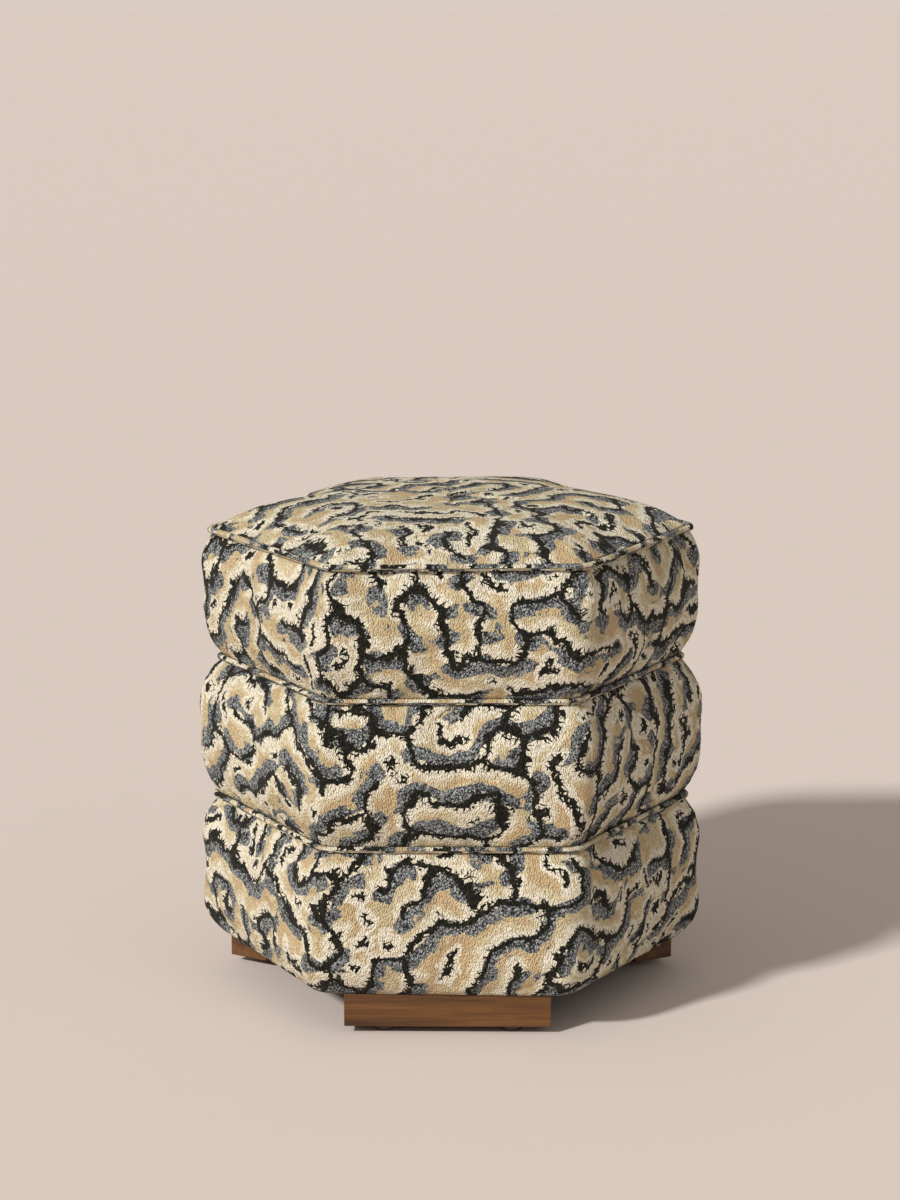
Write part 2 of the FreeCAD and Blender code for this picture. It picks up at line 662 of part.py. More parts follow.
def foam(tier):
    """Foam ring on the drum; the lower one also laps over the base board's edge."""
    low, high = tier_levels(tier)
    outside = tier_curve(tier, FOAM_AT_SEAM, FOAM_AT_BULGE, CLOTH)
    inside = [(DRUM_CLEAR, f"{high} - {CLOTH}"), (DRUM_CLEAR, f"{low} + {CLOTH}")]
    if tier == "lower":
        board_clear = f"({DRUM} + Sizes.base_reach + Sizes.fit_gap)"
        inside[1:] = [(DRUM_CLEAR, BASE_TOP), (board_clear, BASE_TOP), (board_clear, BASE_BOTTOM)]
    swept_ring(f"foam_{tier}", outside + inside)


# Welts: a fabric tube with its seam allowance, and the cord in it
def welt(seam):
    body = new_body(f"welt_{seam}")
    path = drum_path(body)
    centre = f"({DRUM} + {SEAM_REACH[seam]})"
    level = SEAM_LEVEL[seam]
    profile = new_sketch(body, "profile", "YZ_Plane", centre, level)
    radius, half = value(WELT_RADIUS), value(HALF_TAIL)
    neck = f"-sqrt({WELT_RADIUS} ^ 2 - {HALF_TAIL} ^ 2)"
    end = f"-({SEAM_REACH[seam]} - Sizes.fit_gap)"
    spread = math.asin(half / radius)
    circle = Part.Circle(Vector(0, 0, 0), Vector(0, 0, 1), radius)
    corners = [(neck, HALF_TAIL), (end, HALF_TAIL), (end, f"-{HALF_TAIL}"), (neck, f"-{HALF_TAIL}")]
    places = [Vector(value(x), value(y), 0) for x, y in corners]
    profile.addGeometry([
        Part.ArcOfCircle(circle, spread - math.pi, math.pi - spread),
        Part.LineSegment(places[0], places[1]),
        Part.LineSegment(places[1], places[2]),
        Part.LineSegment(places[2], places[3]),
    ], False)
    rules = [("Coincident", (index, 2, (index + 1) % 4, 1)) for index in range(4)]
    for index in range(3):
        rules += pinned((index + 1, 1), *corners[index])
    rules += pinned((3, 2), *corners[3])
    rules.append(("Radius", (0,), WELT_RADIUS))
    constrain(profile, rules)
    sweep(body, "AdditivePipe", "tube", profile, path)
    bore = new_sketch(body, "bore_profile", "YZ_Plane", centre, level)
    add_circle(bore, "(Sizes.welt_diameter - 2 * Sizes.welt_wall)")
    sweep(body, "SubtractivePipe", "bore", bore, path)


def welt_cord(seam):
    body = new_body(f"welt_cord_{seam}")
    path = drum_path(body)
    profile = new_sketch(body, "profile", "YZ_Plane", f"({DRUM} + {SEAM_REACH[seam]})", SEAM_LEVEL[seam])
    add_circle(profile, "(Sizes.welt_diameter - 2 * Sizes.welt_wall - 2 * Sizes.welt_cord_gap)")
    sweep(body, "AdditivePipe", "cord", profile, path)


def add_circle(sketch, diameter):
    sketch.addGeometry(Part.Circle(Vector(0, 0, 0), Vector(0, 0, 1), value(diameter) / 2), False)
    constrain(sketch, [("Coincident", (0, 3, -1, 1)), ("Diameter", (0,), diameter)])


# Seat: domed cover, wadding and foam, lofted through rounded hexagons
FLANGE_TOP = f"({SEAT_SEAM} + {HALF_TAIL} + {CLOTH})"
SEAT_EDGE = seam_root("seat")
SEAT_RISE = f"(Sizes.crown_height - {HALF_TAIL})"
# The cover slants at its edge, so the cavity under it starts three thicknesses further in; its
# rise lacks the cover's thickness at the crown and at the flange.
CAVITY_EDGE = f"({SEAT_EDGE} - 3 * {CLOTH})"
CAVITY_RISE = f"({SEAT_RISE} - 2 * {CLOTH})"
FOAM_EDGE = f"({DRUM} - Sizes.fit_gap)"
FOAM_RISE = f"({CAVITY_RISE} - Sizes.seat_wadding - 2 * Sizes.fit_gap)"


def dome(body, kind, name, level, edge, rise):
    """Loft a crown of that rise over a hexagon of that apothem; it grows rounder upwards."""
    plans = []
    for number, station in enumerate(DOME_STATIONS):
        apothem = f"({station} * {edge})"
        bend = f"({apothem} * ({corner_radius(edge)} / {edge} + {DOME_ROUNDING} * (1 - {station})))"
        height = f"({level} + {1 - station ** DOME_POWER:.6f} * {rise})"
        plans.append(rounded_hexagon(body, f"{name}_plan_{number}", apothem, bend, height))
    loft = body.newObject(f"PartDesign::{kind}", name)
    loft.Profile = plans[0]
    loft.Sections = plans[1:]
    body.Tip = loft
    return loft


def cover_seat():
    body = new_body("cover_seat")
    level = f"({SEAT_SEAM} + {HALF_TAIL})"
    dome(body, "AdditiveLoft", "outside", level, SEAT_EDGE, SEAT_RISE)
    dome(body, "SubtractiveLoft", "inside", FLANGE_TOP, CAVITY_EDGE, CAVITY_RISE)
    opening = rounded_hexagon(body, "opening_plan", DRUM_CLEAR, corner_radius(DRUM_CLEAR), level)
    pocket(body, "opening", opening, CLOTH)


def foam_seat():
    body = new_body("foam_seat")
    plan = rounded_hexagon(body, "plan", FOAM_EDGE, corner_radius(FOAM_EDGE), DECK_TOP)
    pad(body, "block", plan, f"{FLANGE_TOP} - {DECK_TOP}")
    dome(body, "AdditiveLoft", "crown", FLANGE_TOP, FOAM_EDGE, FOAM_RISE)


def wadding_seat():
    body = new_body("wadding_seat")
    edge = f"({CAVITY_EDGE} - Sizes.fit_gap)"
    dome(body, "AdditiveLoft", "outside", FLANGE_TOP, edge, f"({CAVITY_RISE} - Sizes.fit_gap)")
    inner = f"({FOAM_EDGE} + Sizes.fit_gap)"
    dome(body, "SubtractiveLoft", "inside", FLANGE_TOP, inner, f"({FOAM_RISE} + Sizes.fit_gap)")


for side in PLINTH_SIDES:
    plinth_block(side)
    for number in range(2):
        glide(side, number)
glide_nails()
plinth_screws()
dust_cover()
dust_cover_staples()
base_board()
deck_board()
for side in SIDES:
    side_panel(side)
for corner in CORNERS:
    corner_block(corner)
board_screws("base_screws", BASE_BOTTOM, upwards=True)
board_screws("deck_screws", DECK_TOP, upwards=False)
for tier in SHOULDERS:
    foam(tier)
    wadding(tier)
    cover(tier)
for seam in SEAM_LEVEL:
    welt(seam)
    welt_cord(seam)
foam_seat()
wadding_seat()
cover_seat()
doc.recompute()

# Nothing is written unless every object and every sub-part is sound
parts = [item for item in doc.Objects if item.TypeId == "PartDesign::Body"]
for item in doc.Objects:
    if "Invalid" in item.State or "Error" in item.State:
        raise RuntimeError(f"{item.Label} ({item.Name}) did not compute: {item.State}")
for part in parts:
    if part.Shape.isNull() or not part.Shape.isValid():
        raise RuntimeError(f"{part.Label} has no sound shape")
os.makedirs("parts", exist_ok=True)
for part in parts:
    part.Shape.exportStep(f"parts/{part.Label}.step")
    print(f"{part.Label}: {len(part.Shape.Solids)} solid(s), {part.Shape.Volume / 1000:.2f} cm3")
print(f"{len(parts)} parts written")
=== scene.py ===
import math

import bmesh
import bpy
import numpy as np
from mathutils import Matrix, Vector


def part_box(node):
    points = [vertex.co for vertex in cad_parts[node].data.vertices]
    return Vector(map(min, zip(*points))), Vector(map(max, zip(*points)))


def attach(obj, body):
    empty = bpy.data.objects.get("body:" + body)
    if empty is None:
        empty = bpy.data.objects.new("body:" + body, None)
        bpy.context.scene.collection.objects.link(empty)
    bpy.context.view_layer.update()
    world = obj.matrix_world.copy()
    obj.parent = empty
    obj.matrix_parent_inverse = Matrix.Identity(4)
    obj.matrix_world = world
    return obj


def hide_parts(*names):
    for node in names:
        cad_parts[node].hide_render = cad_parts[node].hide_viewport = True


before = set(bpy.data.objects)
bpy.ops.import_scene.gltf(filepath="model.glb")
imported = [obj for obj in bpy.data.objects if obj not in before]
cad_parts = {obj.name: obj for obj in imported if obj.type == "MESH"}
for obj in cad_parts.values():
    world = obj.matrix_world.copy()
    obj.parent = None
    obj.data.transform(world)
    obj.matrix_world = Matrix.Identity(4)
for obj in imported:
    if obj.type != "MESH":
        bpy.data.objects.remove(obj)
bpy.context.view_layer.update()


def levels_of(node):
    """The lowest and highest level of a node of the frame, in metres, to a tenth of a millimetre."""
    low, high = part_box(node)
    return round(low.z, 4), round(high.z, 4)


def reach_of(node):
    """How far a node of the frame goes out from the middle to its flat sides."""
    return round(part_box(node)[1].y, 4)


def middle_of(node):
    """The level half way up a node of the frame."""
    return round(sum(levels_of(node)) / 2, 4)


# The rounded hexagon that every layer follows, in metres
SIDES = 6
CORE_APOTHEM = reach_of("deck_board")
CORE_RADIUS = 0.018
STRAIGHT = 2 * (CORE_APOTHEM - CORE_RADIUS) * math.tan(math.pi / SIDES)
FIRST_CORNER = math.radians(60)
STRAIGHT_COLUMNS = 62
CORNER_COLUMNS = 16

# Levels
HEM_BOTTOM = levels_of("cover_lower")[0]
LOWER_SEAM = middle_of("welt_lower")
UPPER_SEAM = middle_of("welt_upper")
SEAT_SEAM = middle_of("welt_seat")
SEAM_GAP = round(levels_of("cover_seat")[0] - SEAT_SEAM, 4)
BASE_BOTTOM, BASE_TOP = levels_of("base_board")
DECK_TOP = levels_of("deck_board")[1]

# Reaches: where each tier starts at its seams, how far it bulges, and what lies inside
HEM_REACH = 0.1915
HEM_WIDTH = 0.018
LOWER_ROOT = 0.1901
UPPER_ROOT = 0.1853
SEAT_ROOT = reach_of("cover_seat")
LOWER_BULGE = reach_of("cover_lower")
MIDDLE_BULGE = reach_of("cover_middle")
UPPER_BULGE = reach_of("cover_upper")
SEAT_BLOCK = reach_of("foam_seat")
SEAT_BLOCK_RADIUS = round(SEAT_BLOCK - CORE_APOTHEM + CORE_RADIUS, 4)
CLEARANCE = 0.0002
PANEL_CLEAR = round(reach_of("side_panel_back") + CLEARANCE, 4)
BOARD_CLEAR = round(reach_of("base_board") + CLEARANCE, 4)

# How much of a tier's height its shoulders take, below and above its bulge
LOWER_SHOULDERS = (0.28, 0.34)
MIDDLE_SHOULDERS = (0.42, 0.39)
UPPER_SHOULDERS = (0.44, 0.30)

# Crown of the seat: its rise, its slope towards +X and its fullness, and where its corners are gone
DOME_RISE = 0.0300
DOME_TILT = 0.014
DOME_POWER = 4.7
ROUND_WITHIN = 0.95
CROWN_ROWS = 66
CROWN_START = 0.03
BLOCK_FLOOR_ROWS = 10
BLOCK_WALL_ROWS = 4

# Welts: the two between the tiers are a little thinner and lie deeper than the seat's
SEAT_WELT_SIZE = 0.0032
SEAT_WELT_REACH = 0.1952
SEAT_WELT_RADIUS = 0.0202
SEAM_WELT_SIZE = 0.0027
SEAM_WELT_RADIUS = 0.0177
LOWER_WELT_REACH = 0.1938
UPPER_WELT_REACH = 0.1890
WELT_SIDES = 16

# Dust cover
DUST_BOTTOM, DUST_TOP = levels_of("dust_cover")
DUST_THICKNESS = round(DUST_TOP - DUST_BOTTOM, 4)
DUST_REACH = reach_of("dust_cover")
DUST_RADIUS = 0.024
DUST_SAG = 0.0012
DUST_SAG_CHANGE = 0.3
DUST_PUCKER = 0.0002
DUST_WAVES = (7, 11, 18, 27)
DUST_PHASE = 6.28
DUST_SEED = 21
DUST_ROWS = 25

# Cloth: the pattern repeats once round the tuffet and every CLOTH_HEIGHT up, on nearly square cells
CLOTH_REACH = 0.206
CLOTH_ROUND = SIDES * STRAIGHT + 2 * math.pi * (CLOTH_REACH - CORE_APOTHEM + CORE_RADIUS)
CLOTH_COLUMNS = 704
CLOTH_ROWS = 256
CLOTH_HEIGHT = 0.512
LOWER_CLOTH_START = 0.0
MIDDLE_CLOTH_START = 0.17
UPPER_CLOTH_START = 0.34
SEAT_CLOTH_START = (0.3, 0.25)
SEAT_CLOTH_STRETCH = 1.03
LOWER_WELT_CLOTH = 0.05
UPPER_WELT_CLOTH = 0.17
SEAT_WELT_CLOTH = 0.31
WELT_CLOTH_SHIFT = 0.4

# Lines of the woven pattern
LINE_SPACING = 0.0325
SPACING_SPREAD = 0.35
LINE_SHARE = 0.49
MEANDER_STEP = 0.5
MEANDER_STEPS = 9
MEANDER_DRIVE = 0.5
MEANDER_START = 0.5
SHADE_WAY = (0.3, -0.95)
SHADE_BLUR = 0.003
SHADE_FLATTEST = 0.15
SHORTEST_LINE = 12
SHORTEST_TWIG = 3
WIDEST_BARE = 0.0172
JUMPS = (32, 16, 8, 4, 2, 1, 2, 1)
FARTHEST_TWIG = 0.05
SMALL_SWAY = (0.0032, 0.0016)
LARGE_SWAY = (0.0065, 0.0026)
TIER_CLOTH_SEED = 4
SEAT_CLOTH_SEED = 11

# Settling of the soft pieces
SETTLING_FRAMES = 16
SOFT_MOVE = 0.005
TIER_SWELL = 0.15
SEAT_SWELL = 0.1
TIER_FULLNESS = 0.02
SEAT_FULLNESS = 0.01
UNEVENNESS = 0.0003
COARSE_ROWS = 21
TIER_COLUMN_STEP = 3
SEAT_ROW_STEP = 3
SEAT_COLUMN_STEP = 6
TIER_SEEDS = {"lower": 10, "middle": 11, "upper": 10}
SEAT_SEED = 9
CLOTH_SETTINGS = {
    "quality": 8,
    "mass": 0.15,
    "tension_stiffness": 25,
    "compression_stiffness": 25,
    "shear_stiffness": 12,
    "bending_stiffness": 1.5,
    "use_pressure": True,
    "uniform_pressure_force": 4,
}

# Fineness of the cushions' faces
SHOULDER_POINTS = 60
ROW_SIZE = 0.003
HIDDEN_ROW_SIZE = 0.02
MERGE_DISTANCE = 1e-6

# How the hand-sewn cushions stray from the frame
SEAM_RADIUS = 0.014
SEAT_SEAM_RADIUS = 0.016
HEM_RADIUS = 0.024
BULGE_RADIUS = 0.027
ROUNDING_POWER = 0.6
TWIST_LEVELS = (HEM_BOTTOM, LOWER_SEAM, UPPER_SEAM, SEAT_SEAM)
TWIST_DEGREES = (-1.1, 0.4, 1.0, 2.6)


def direction(angle):
    """The way out at an angle, seen from above."""
    return np.array([math.cos(angle), math.sin(angle)])


def rounded_hexagon():
    """Core points and outward directions once round, from the middle of the first corner to itself."""
    points, normals = [], []
    turn = 2 * math.pi / SIDES
    centre_distance = (CORE_APOTHEM - CORE_RADIUS) / math.cos(math.pi / SIDES)

    def add_corner(corner, steps):
        for step in steps:
            way = direction(corner + (step / CORNER_COLUMNS - 0.5) * turn)
            points.append(direction(corner) * centre_distance + CORE_RADIUS * way)
            normals.append(way)

    for side in range(SIDES):
        corner = FIRST_CORNER + side * turn
        add_corner(corner, range(0 if side else CORNER_COLUMNS // 2, CORNER_COLUMNS))
        normal = direction(corner + turn / 2)
        way = np.array([-normal[1], normal[0]])
        for step in range(STRAIGHT_COLUMNS):
            points.append(normal * CORE_APOTHEM + way * STRAIGHT * (step / STRAIGHT_COLUMNS - 0.5))
            normals.append(normal)
    add_corner(FIRST_CORNER, range(CORNER_COLUMNS // 2 + 1))
    return np.array(points), np.array(normals)


ROUND = rounded_hexagon()


def ring(reach):
    """The core's outline moved out or in to a reach, with the columns of ROUND."""
    points, normals = ROUND
    return points + normals * (reach - CORE_APOTHEM)


def hexagon_at(apothem, radius):
    """A rounded hexagon of its own corner radius, with the columns of ROUND."""
    points, normals = ROUND
    centres = (points - normals * CORE_RADIUS) / (CORE_APOTHEM - CORE_RADIUS)
    radius = min(radius, apothem)
    return centres * (apothem - radius) + normals * radius


def cloth_travel():
    """How far along the cloth each column of ROUND is, measured round the widest level."""
    steps = np.hypot(*np.diff(hexagon_at(CLOTH_REACH, BULGE_RADIUS), axis=0).T)
    travel = np.concatenate([[0], np.cumsum(steps)])
    return travel * CLOTH_ROUND / travel[-1]


TRAVEL = cloth_travel()


def twisted(outline, level):
    """Turns an outline about the middle by the small amount the cushions are out of line there."""
    turn = math.radians(np.interp(level, TWIST_LEVELS, TWIST_DEGREES))
    cosine, sine = math.cos(turn), math.sin(turn)
    x, y = outline.T
    return np.column_stack([x * cosine - y * sine, x * sine + y * cosine])


# Woven pattern: a net of jagged lines with shaded sides
def wave_numbers():
    """The wave numbers of the pattern's grid, for its Fourier transforms."""
    across = 2 * np.pi * np.fft.rfftfreq(CLOTH_COLUMNS, CLOTH_ROUND / CLOTH_COLUMNS)
    up = 2 * np.pi * np.fft.fftfreq(CLOTH_ROWS, CLOTH_HEIGHT / CLOTH_ROWS)
    return across[None, :], up[:, None]


WAVES_ACROSS, WAVES_UP = wave_numbers()
WAVES = np.hypot(WAVES_ACROSS, WAVES_UP)


def filtered(field, factor):
    """A field with each of its waves multiplied by a factor."""
    return np.fft.irfft2(np.fft.rfft2(field) * factor, s=field.shape)


def blurred(field, size):
    """A field blurred over this many metres."""
    return filtered(field, np.exp(-(WAVES * size) ** 2 / 2))


def soft_noise(rng, size):
    """Smooth random field of unit spread with features of about this size."""
    noise = blurred(rng.normal(0, 1, (CLOTH_ROWS, CLOTH_COLUMNS)), size)
    return noise / noise.std()


def meander(rng):
    """A field whose low parts wind about at an even spacing."""
    share = WAVES * LINE_SPACING / (2 * np.pi)
    band = np.exp(-((share - 1) / SPACING_SPREAD) ** 2 / 2)
    field = filtered(rng.normal(0, 1, (CLOTH_ROWS, CLOTH_COLUMNS)), band)
    field *= MEANDER_START / field.std()
    growth = 1 / (1 - MEANDER_STEP * (MEANDER_DRIVE - (1 - share ** 2) ** 2))
    for _ in range(MEANDER_STEPS):
        field = filtered(field - MEANDER_STEP * field ** 3, growth)
    return field


def neighbours(mask):
    """The mask's eight neighbours, in order round each cell."""
    steps = ((1, 0), (1, -1), (0, -1), (-1, -1), (-1, 0), (-1, 1), (0, 1), (1, 1))
    return [np.roll(mask, step, (0, 1)) for step in steps]


def thinned(mask):
    """Wears a mask down to lines one cell wide."""
    mask = mask.copy()
    changed = True
    while changed:
        changed = False
        for first in (True, False):
            near = neighbours(mask)
            count = sum(cell.astype(int) for cell in near)
            rises = sum((~near[i] & near[(i + 1) % 8]).astype(int) for i in range(8))
            if first:
                open_side = ~(near[0] & near[2] & near[4]) & ~(near[2] & near[4] & near[6])
            else:
                open_side = ~(near[0] & near[2] & near[6]) & ~(near[0] & near[4] & near[6])
            gone = mask & (count >= 2) & (count <= 6) & (rises == 1) & open_side
            if gone.any():
                changed = True
                mask[gone] = False
    return mask


def offsets(mask):
    """For each cell, the way to it from the nearest cell of the mask, in metres."""
    unknown = 9999.0
    up = np.where(mask, 0.0, unknown)
    across = np.where(mask, 0.0, unknown)
    for step in JUMPS:
        for row in (-step, 0, step):
            for column in (-step, 0, step):
                other_up = np.roll(up, (row, column), (0, 1)) + row
                other_across = np.roll(across, (row, column), (0, 1)) + column
                nearer = other_up ** 2 + other_across ** 2 < up ** 2 + across ** 2
                up = np.where(nearer, other_up, up)
                across = np.where(nearer, other_across, across)
    return across * CLOTH_ROUND / CLOTH_COLUMNS, up * CLOTH_HEIGHT / CLOTH_ROWS


def group_sizes(mask):
    """How many cells each cell's connected group has."""
    label = np.where(mask, np.arange(mask.size).reshape(mask.shape) + 1, 0)
    while True:
        spread = label
        for row in (-1, 0, 1):
            for column in (-1, 0, 1):
                spread = np.maximum(spread, np.roll(label, (row, column), (0, 1)))
        spread = np.where(mask, spread, 0)
        if (spread == label).all():
            break
        label = spread
    _, group, count = np.unique(label, return_inverse=True, return_counts=True)
    return count[group].reshape(mask.shape) * mask


def woven_fields(seed):
    """Grids of the way from the nearest line, the side it shades, short loose twigs, and a sway."""
    rng = np.random.default_rng(seed)
    field = meander(rng)
    lines = thinned(field < np.quantile(field, LINE_SHARE))
    size = group_sizes(lines)
    lines = size >= SHORTEST_LINE
    twigs = (size >= SHORTEST_TWIG) & ~lines
    bare = thinned(np.hypot(*offsets(lines | twigs)) > WIDEST_BARE)
    twigs |= group_sizes(bare) >= SHORTEST_TWIG
    across, up = offsets(lines)
    smooth = blurred(field, SHADE_BLUR)
    rise_across, rise_up = filtered(smooth, 1j * WAVES_ACROSS), filtered(smooth, 1j * WAVES_UP)
    steep = np.hypot(rise_across, rise_up)
    side = rise_across * SHADE_WAY[0] + rise_up * SHADE_WAY[1]
    side = side / np.sqrt(steep ** 2 + (SHADE_FLATTEST * steep.mean()) ** 2)
    sways = []
    for _ in range(2):
        small, large = [soft_noise(rng, size) * move for size, move in (SMALL_SWAY, LARGE_SWAY)]
        sways.append(small + large)
    return {
        "across": across,
        "up": up,
        "distance": np.hypot(across, up),
        "twig": np.minimum(np.hypot(*offsets(twigs)), FARTHEST_TWIG),
        "side": blurred(side, SHADE_BLUR),
        "sway": sways,
    }


def sampled(grid, x, y):
    """Reads a periodic grid between its cells."""
    column = np.mod(x / CLOTH_ROUND, 1.0) * CLOTH_COLUMNS
    row = np.mod(y / CLOTH_HEIGHT, 1.0) * CLOTH_ROWS
    left, low = np.floor(column).astype(int), np.floor(row).astype(int)
    fx, fy = column - left, row - low
    total = 0
    for dx in (0, 1):
        for dy in (0, 1):
            weight = (fx if dx else 1 - fx) * (fy if dy else 1 - fy)
            total = total + weight * grid[(low + dy) % CLOTH_ROWS, (left + dx) % CLOTH_COLUMNS]
    return total


TIER_CLOTH = woven_fields(TIER_CLOTH_SEED)
SEAT_CLOTH = woven_fields(SEAT_CLOTH_SEED)


def dress(mesh, x, y, cloth, turned=False):
    """Stores the cloth's coordinates, its way from the nearest woven line and its shading."""
    if turned:
        x, y = -x, -y
    moved = x + sampled(cloth["sway"][0], x, y), y + sampled(cloth["sway"][1], x, y)
    corner = np.empty(len(mesh.loops), np.int32)
    mesh.loops.foreach_get("vertex_index", corner)
    layers = {
        "cloth": (x, y, np.zeros_like(x)),
        "line": [sampled(cloth[name], *moved) for name in ("across", "up", "distance")],
        "shade": (sampled(cloth["side"], x, y), sampled(cloth["twig"], *moved), np.zeros_like(x)),
    }
    for name, columns in layers.items():
        layer = mesh.attributes.new(name, "FLOAT_VECTOR", "CORNER")
        layer.data.foreach_set("vector", np.stack(columns, -1).astype(np.float32)[corner].ravel())


def merged(mesh):
    """Joins the first and last columns, and rows that have shrunk to a point."""
    work = bmesh.new()
    work.from_mesh(mesh)
    bmesh.ops.remove_doubles(work, verts=work.verts, dist=MERGE_DISTANCE)
    bmesh.ops.recalc_face_normals(work, faces=work.faces)
    work.to_mesh(mesh)
    work.free()
    mesh.update()
    return mesh


def quads(index):
    """The corners of the cells between neighbouring rows and columns of a grid of vertex numbers."""
    corners = (index[:-1, :-1], index[:-1, 1:], index[1:, 1:], index[1:, :-1])
    return np.stack(corners, -1).reshape(-1, 4)


def grid_mesh(name, points, close_rows=False):
    """A mesh of quads from rows of points."""
    rows, columns = points.shape[:2]
    index = np.arange(rows * columns).reshape(rows, columns)
    if close_rows:
        index = np.concatenate([index, index[:1]])
    faces = quads(index)
    mesh = bpy.data.meshes.new(name)
    mesh.vertices.add(rows * columns)
    mesh.vertices.foreach_set("co", points.astype(np.float32).ravel())
    mesh.loops.add(faces.size)
    mesh.loops.foreach_set("vertex_index", faces.astype(np.int32).ravel())
    mesh.polygons.add(len(faces))
    mesh.polygons.foreach_set("loop_start", np.arange(0, faces.size, 4, dtype=np.int32))
    mesh.update(calc_edges=True)
    mesh.shade_smooth()
    return mesh


def piece(name, mesh, material):
    """A visible piece of the tuffet, which stays with its only body."""
    thing = bpy.data.objects.new(name, mesh)
    bpy.context.collection.objects.link(thing)
    mesh.materials.append(material)
    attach(thing, "root")
    return thing


def shoulder(root, bulge, height, count):
    """Reach and height of a rounded shoulder, from its seam to the bulge."""
    depth = bulge - root
    radius = (height ** 2 + depth ** 2) / (2 * depth)
    end = math.asin(min(1, height / radius))
    angles = np.linspace(end, 0, count)
    return bulge - radius + radius * np.cos(angles), height - radius * np.sin(angles)


def tier_profile(levels, roots, bulge, shoulders):
    """Reach and height up the face of a tier, and the length of cloth so far."""
    bottom, top = levels
    low_height, high_height = [share * (top - bottom) for share in shoulders]
    low_reach, low_level = shoulder(roots[0], bulge, low_height, SHOULDER_POINTS)
    high_reach, high_level = shoulder(roots[1], bulge, high_height, SHOULDER_POINTS)
    reach = np.concatenate([low_reach, high_reach[::-1]])
    level = np.concatenate([bottom + low_level, top - high_level[::-1]])
    length = np.concatenate([[0], np.cumsum(np.hypot(np.diff(reach), np.diff(level)))])
    keep = np.concatenate([[True], np.diff(length) > 1e-7])
    rows = np.linspace(0, length[-1], int(length[-1] / ROW_SIZE) + 1)
    return np.interp(rows, length[keep], reach[keep]), np.interp(rows, length[keep], level[keep]), rows


def settled(points, held, fullness, seed):
    """Runs a coarse cloth on a grid of points under pressure and returns how each point moved.

    held marks the rows that stay sewn down, and fullness is the spare cloth between them."""
    rng = np.random.default_rng(seed)
    places, index = np.unique(np.round(points.reshape(-1, 3), 6), axis=0, return_inverse=True)
    index = index.reshape(points.shape[:2])
    faces = [list(dict.fromkeys(face)) for face in quads(index).tolist()]
    faces = [face for face in faces if len(face) > 2]
    uneven = rng.normal(0, UNEVENNESS, places.shape)
    mesh = bpy.data.meshes.new("settling")
    mesh.from_pydata((places + uneven).tolist(), [], faces)
    thing = bpy.data.objects.new("settling", mesh)
    bpy.context.collection.objects.link(thing)
    sewn = thing.vertex_groups.new(name="sewn")
    sewn.add(np.unique(index[held]).tolist(), 1.0, "REPLACE")
    cloth = thing.modifiers.new("cloth", "CLOTH")
    for name, value in CLOTH_SETTINGS.items():
        setattr(cloth.settings, name, value)
    cloth.settings.shrink_min = -fullness
    cloth.settings.vertex_group_mass = sewn.name
    cloth.settings.effector_weights.gravity = 0
    cloth.collision_settings.use_collision = False
    cloth.point_cache.frame_end = SETTLING_FRAMES
    start = np.array([v.co for v in mesh.vertices])
    for moment in range(1, SETTLING_FRAMES + 1):
        bpy.context.scene.frame_set(moment)
    shown = thing.evaluated_get(bpy.context.evaluated_depsgraph_get()).data
    end = np.empty(len(shown.vertices) * 3)
    shown.vertices.foreach_get("co", end)
    moved = (end.reshape(-1, 3) - start)[index]
    bpy.context.scene.frame_set(1)
    bpy.data.objects.remove(thing)
    return moved


def smooth_step(share):
    """A share from 0 to 1 that starts and ends gently."""
    return share * share * (3 - 2 * share)


def spread(moved, rows, columns):
    """Fits a coarse grid's moves to a finer one, smoothly."""
    for axis, count in ((0, rows), (1, columns)):
        place = np.linspace(0, moved.shape[axis] - 1, count)
        low = np.minimum(place.astype(int), moved.shape[axis] - 2)
        share = smooth_step(place - low)
        share = share[:, None, None] if axis == 0 else share[None, :, None]
        moved = np.take(moved, low, axis) * (1 - share) + np.take(moved, low + 1, axis) * share
    return moved


def capped(moved, most):
    """Shortens the moves that are longer than most."""
    size = np.linalg.norm(moved, axis=-1, keepdims=True)
    return moved * np.minimum(1, most / np.maximum(size, 1e-9))


def back_of(tier, low, high):
    """Reaches and levels of a tier's hidden side, from its upper seam round to its lower one."""
    if tier != "lower":
        return [(PANEL_CLEAR, high), (PANEL_CLEAR, low)]
    return [
        (PANEL_CLEAR, high),
        (PANEL_CLEAR, BASE_TOP),
        (BOARD_CLEAR, BASE_TOP),
        (BOARD_CLEAR, BASE_BOTTOM),
        (HEM_REACH - HEM_WIDTH, BASE_BOTTOM),
        (HEM_REACH - HEM_WIDTH, low),
    ]


def divided(path, size):
    """Points along a path, no further apart than size, without its first."""
    points = []
    for (r0, z0), (r1, z1) in zip(path[:-1], path[1:]):
        parts = max(1, math.ceil(math.hypot(r1 - r0, z1 - z0) / size))
        points += [(r0 + (r1 - r0) * i / parts, z0 + (z1 - z0) * i / parts) for i in range(1, parts + 1)]
    return points


def level_row(outline, level):
    """An outline's points at one level."""
    return np.column_stack([outline, np.full(len(outline), level)])


def less_swollen(moved, kept):
    """Takes each row's common swelling out of the moves, apart from the share that is kept."""
    outward = ROUND[1][None]
    common = (moved[..., :2] * outward).sum(-1).mean(1)[:, None, None]
    moved[..., :2] -= (1 - kept) * common * outward
    moved[..., 2] -= (1 - kept) * moved[..., 2].mean(1, keepdims=True)
    return moved


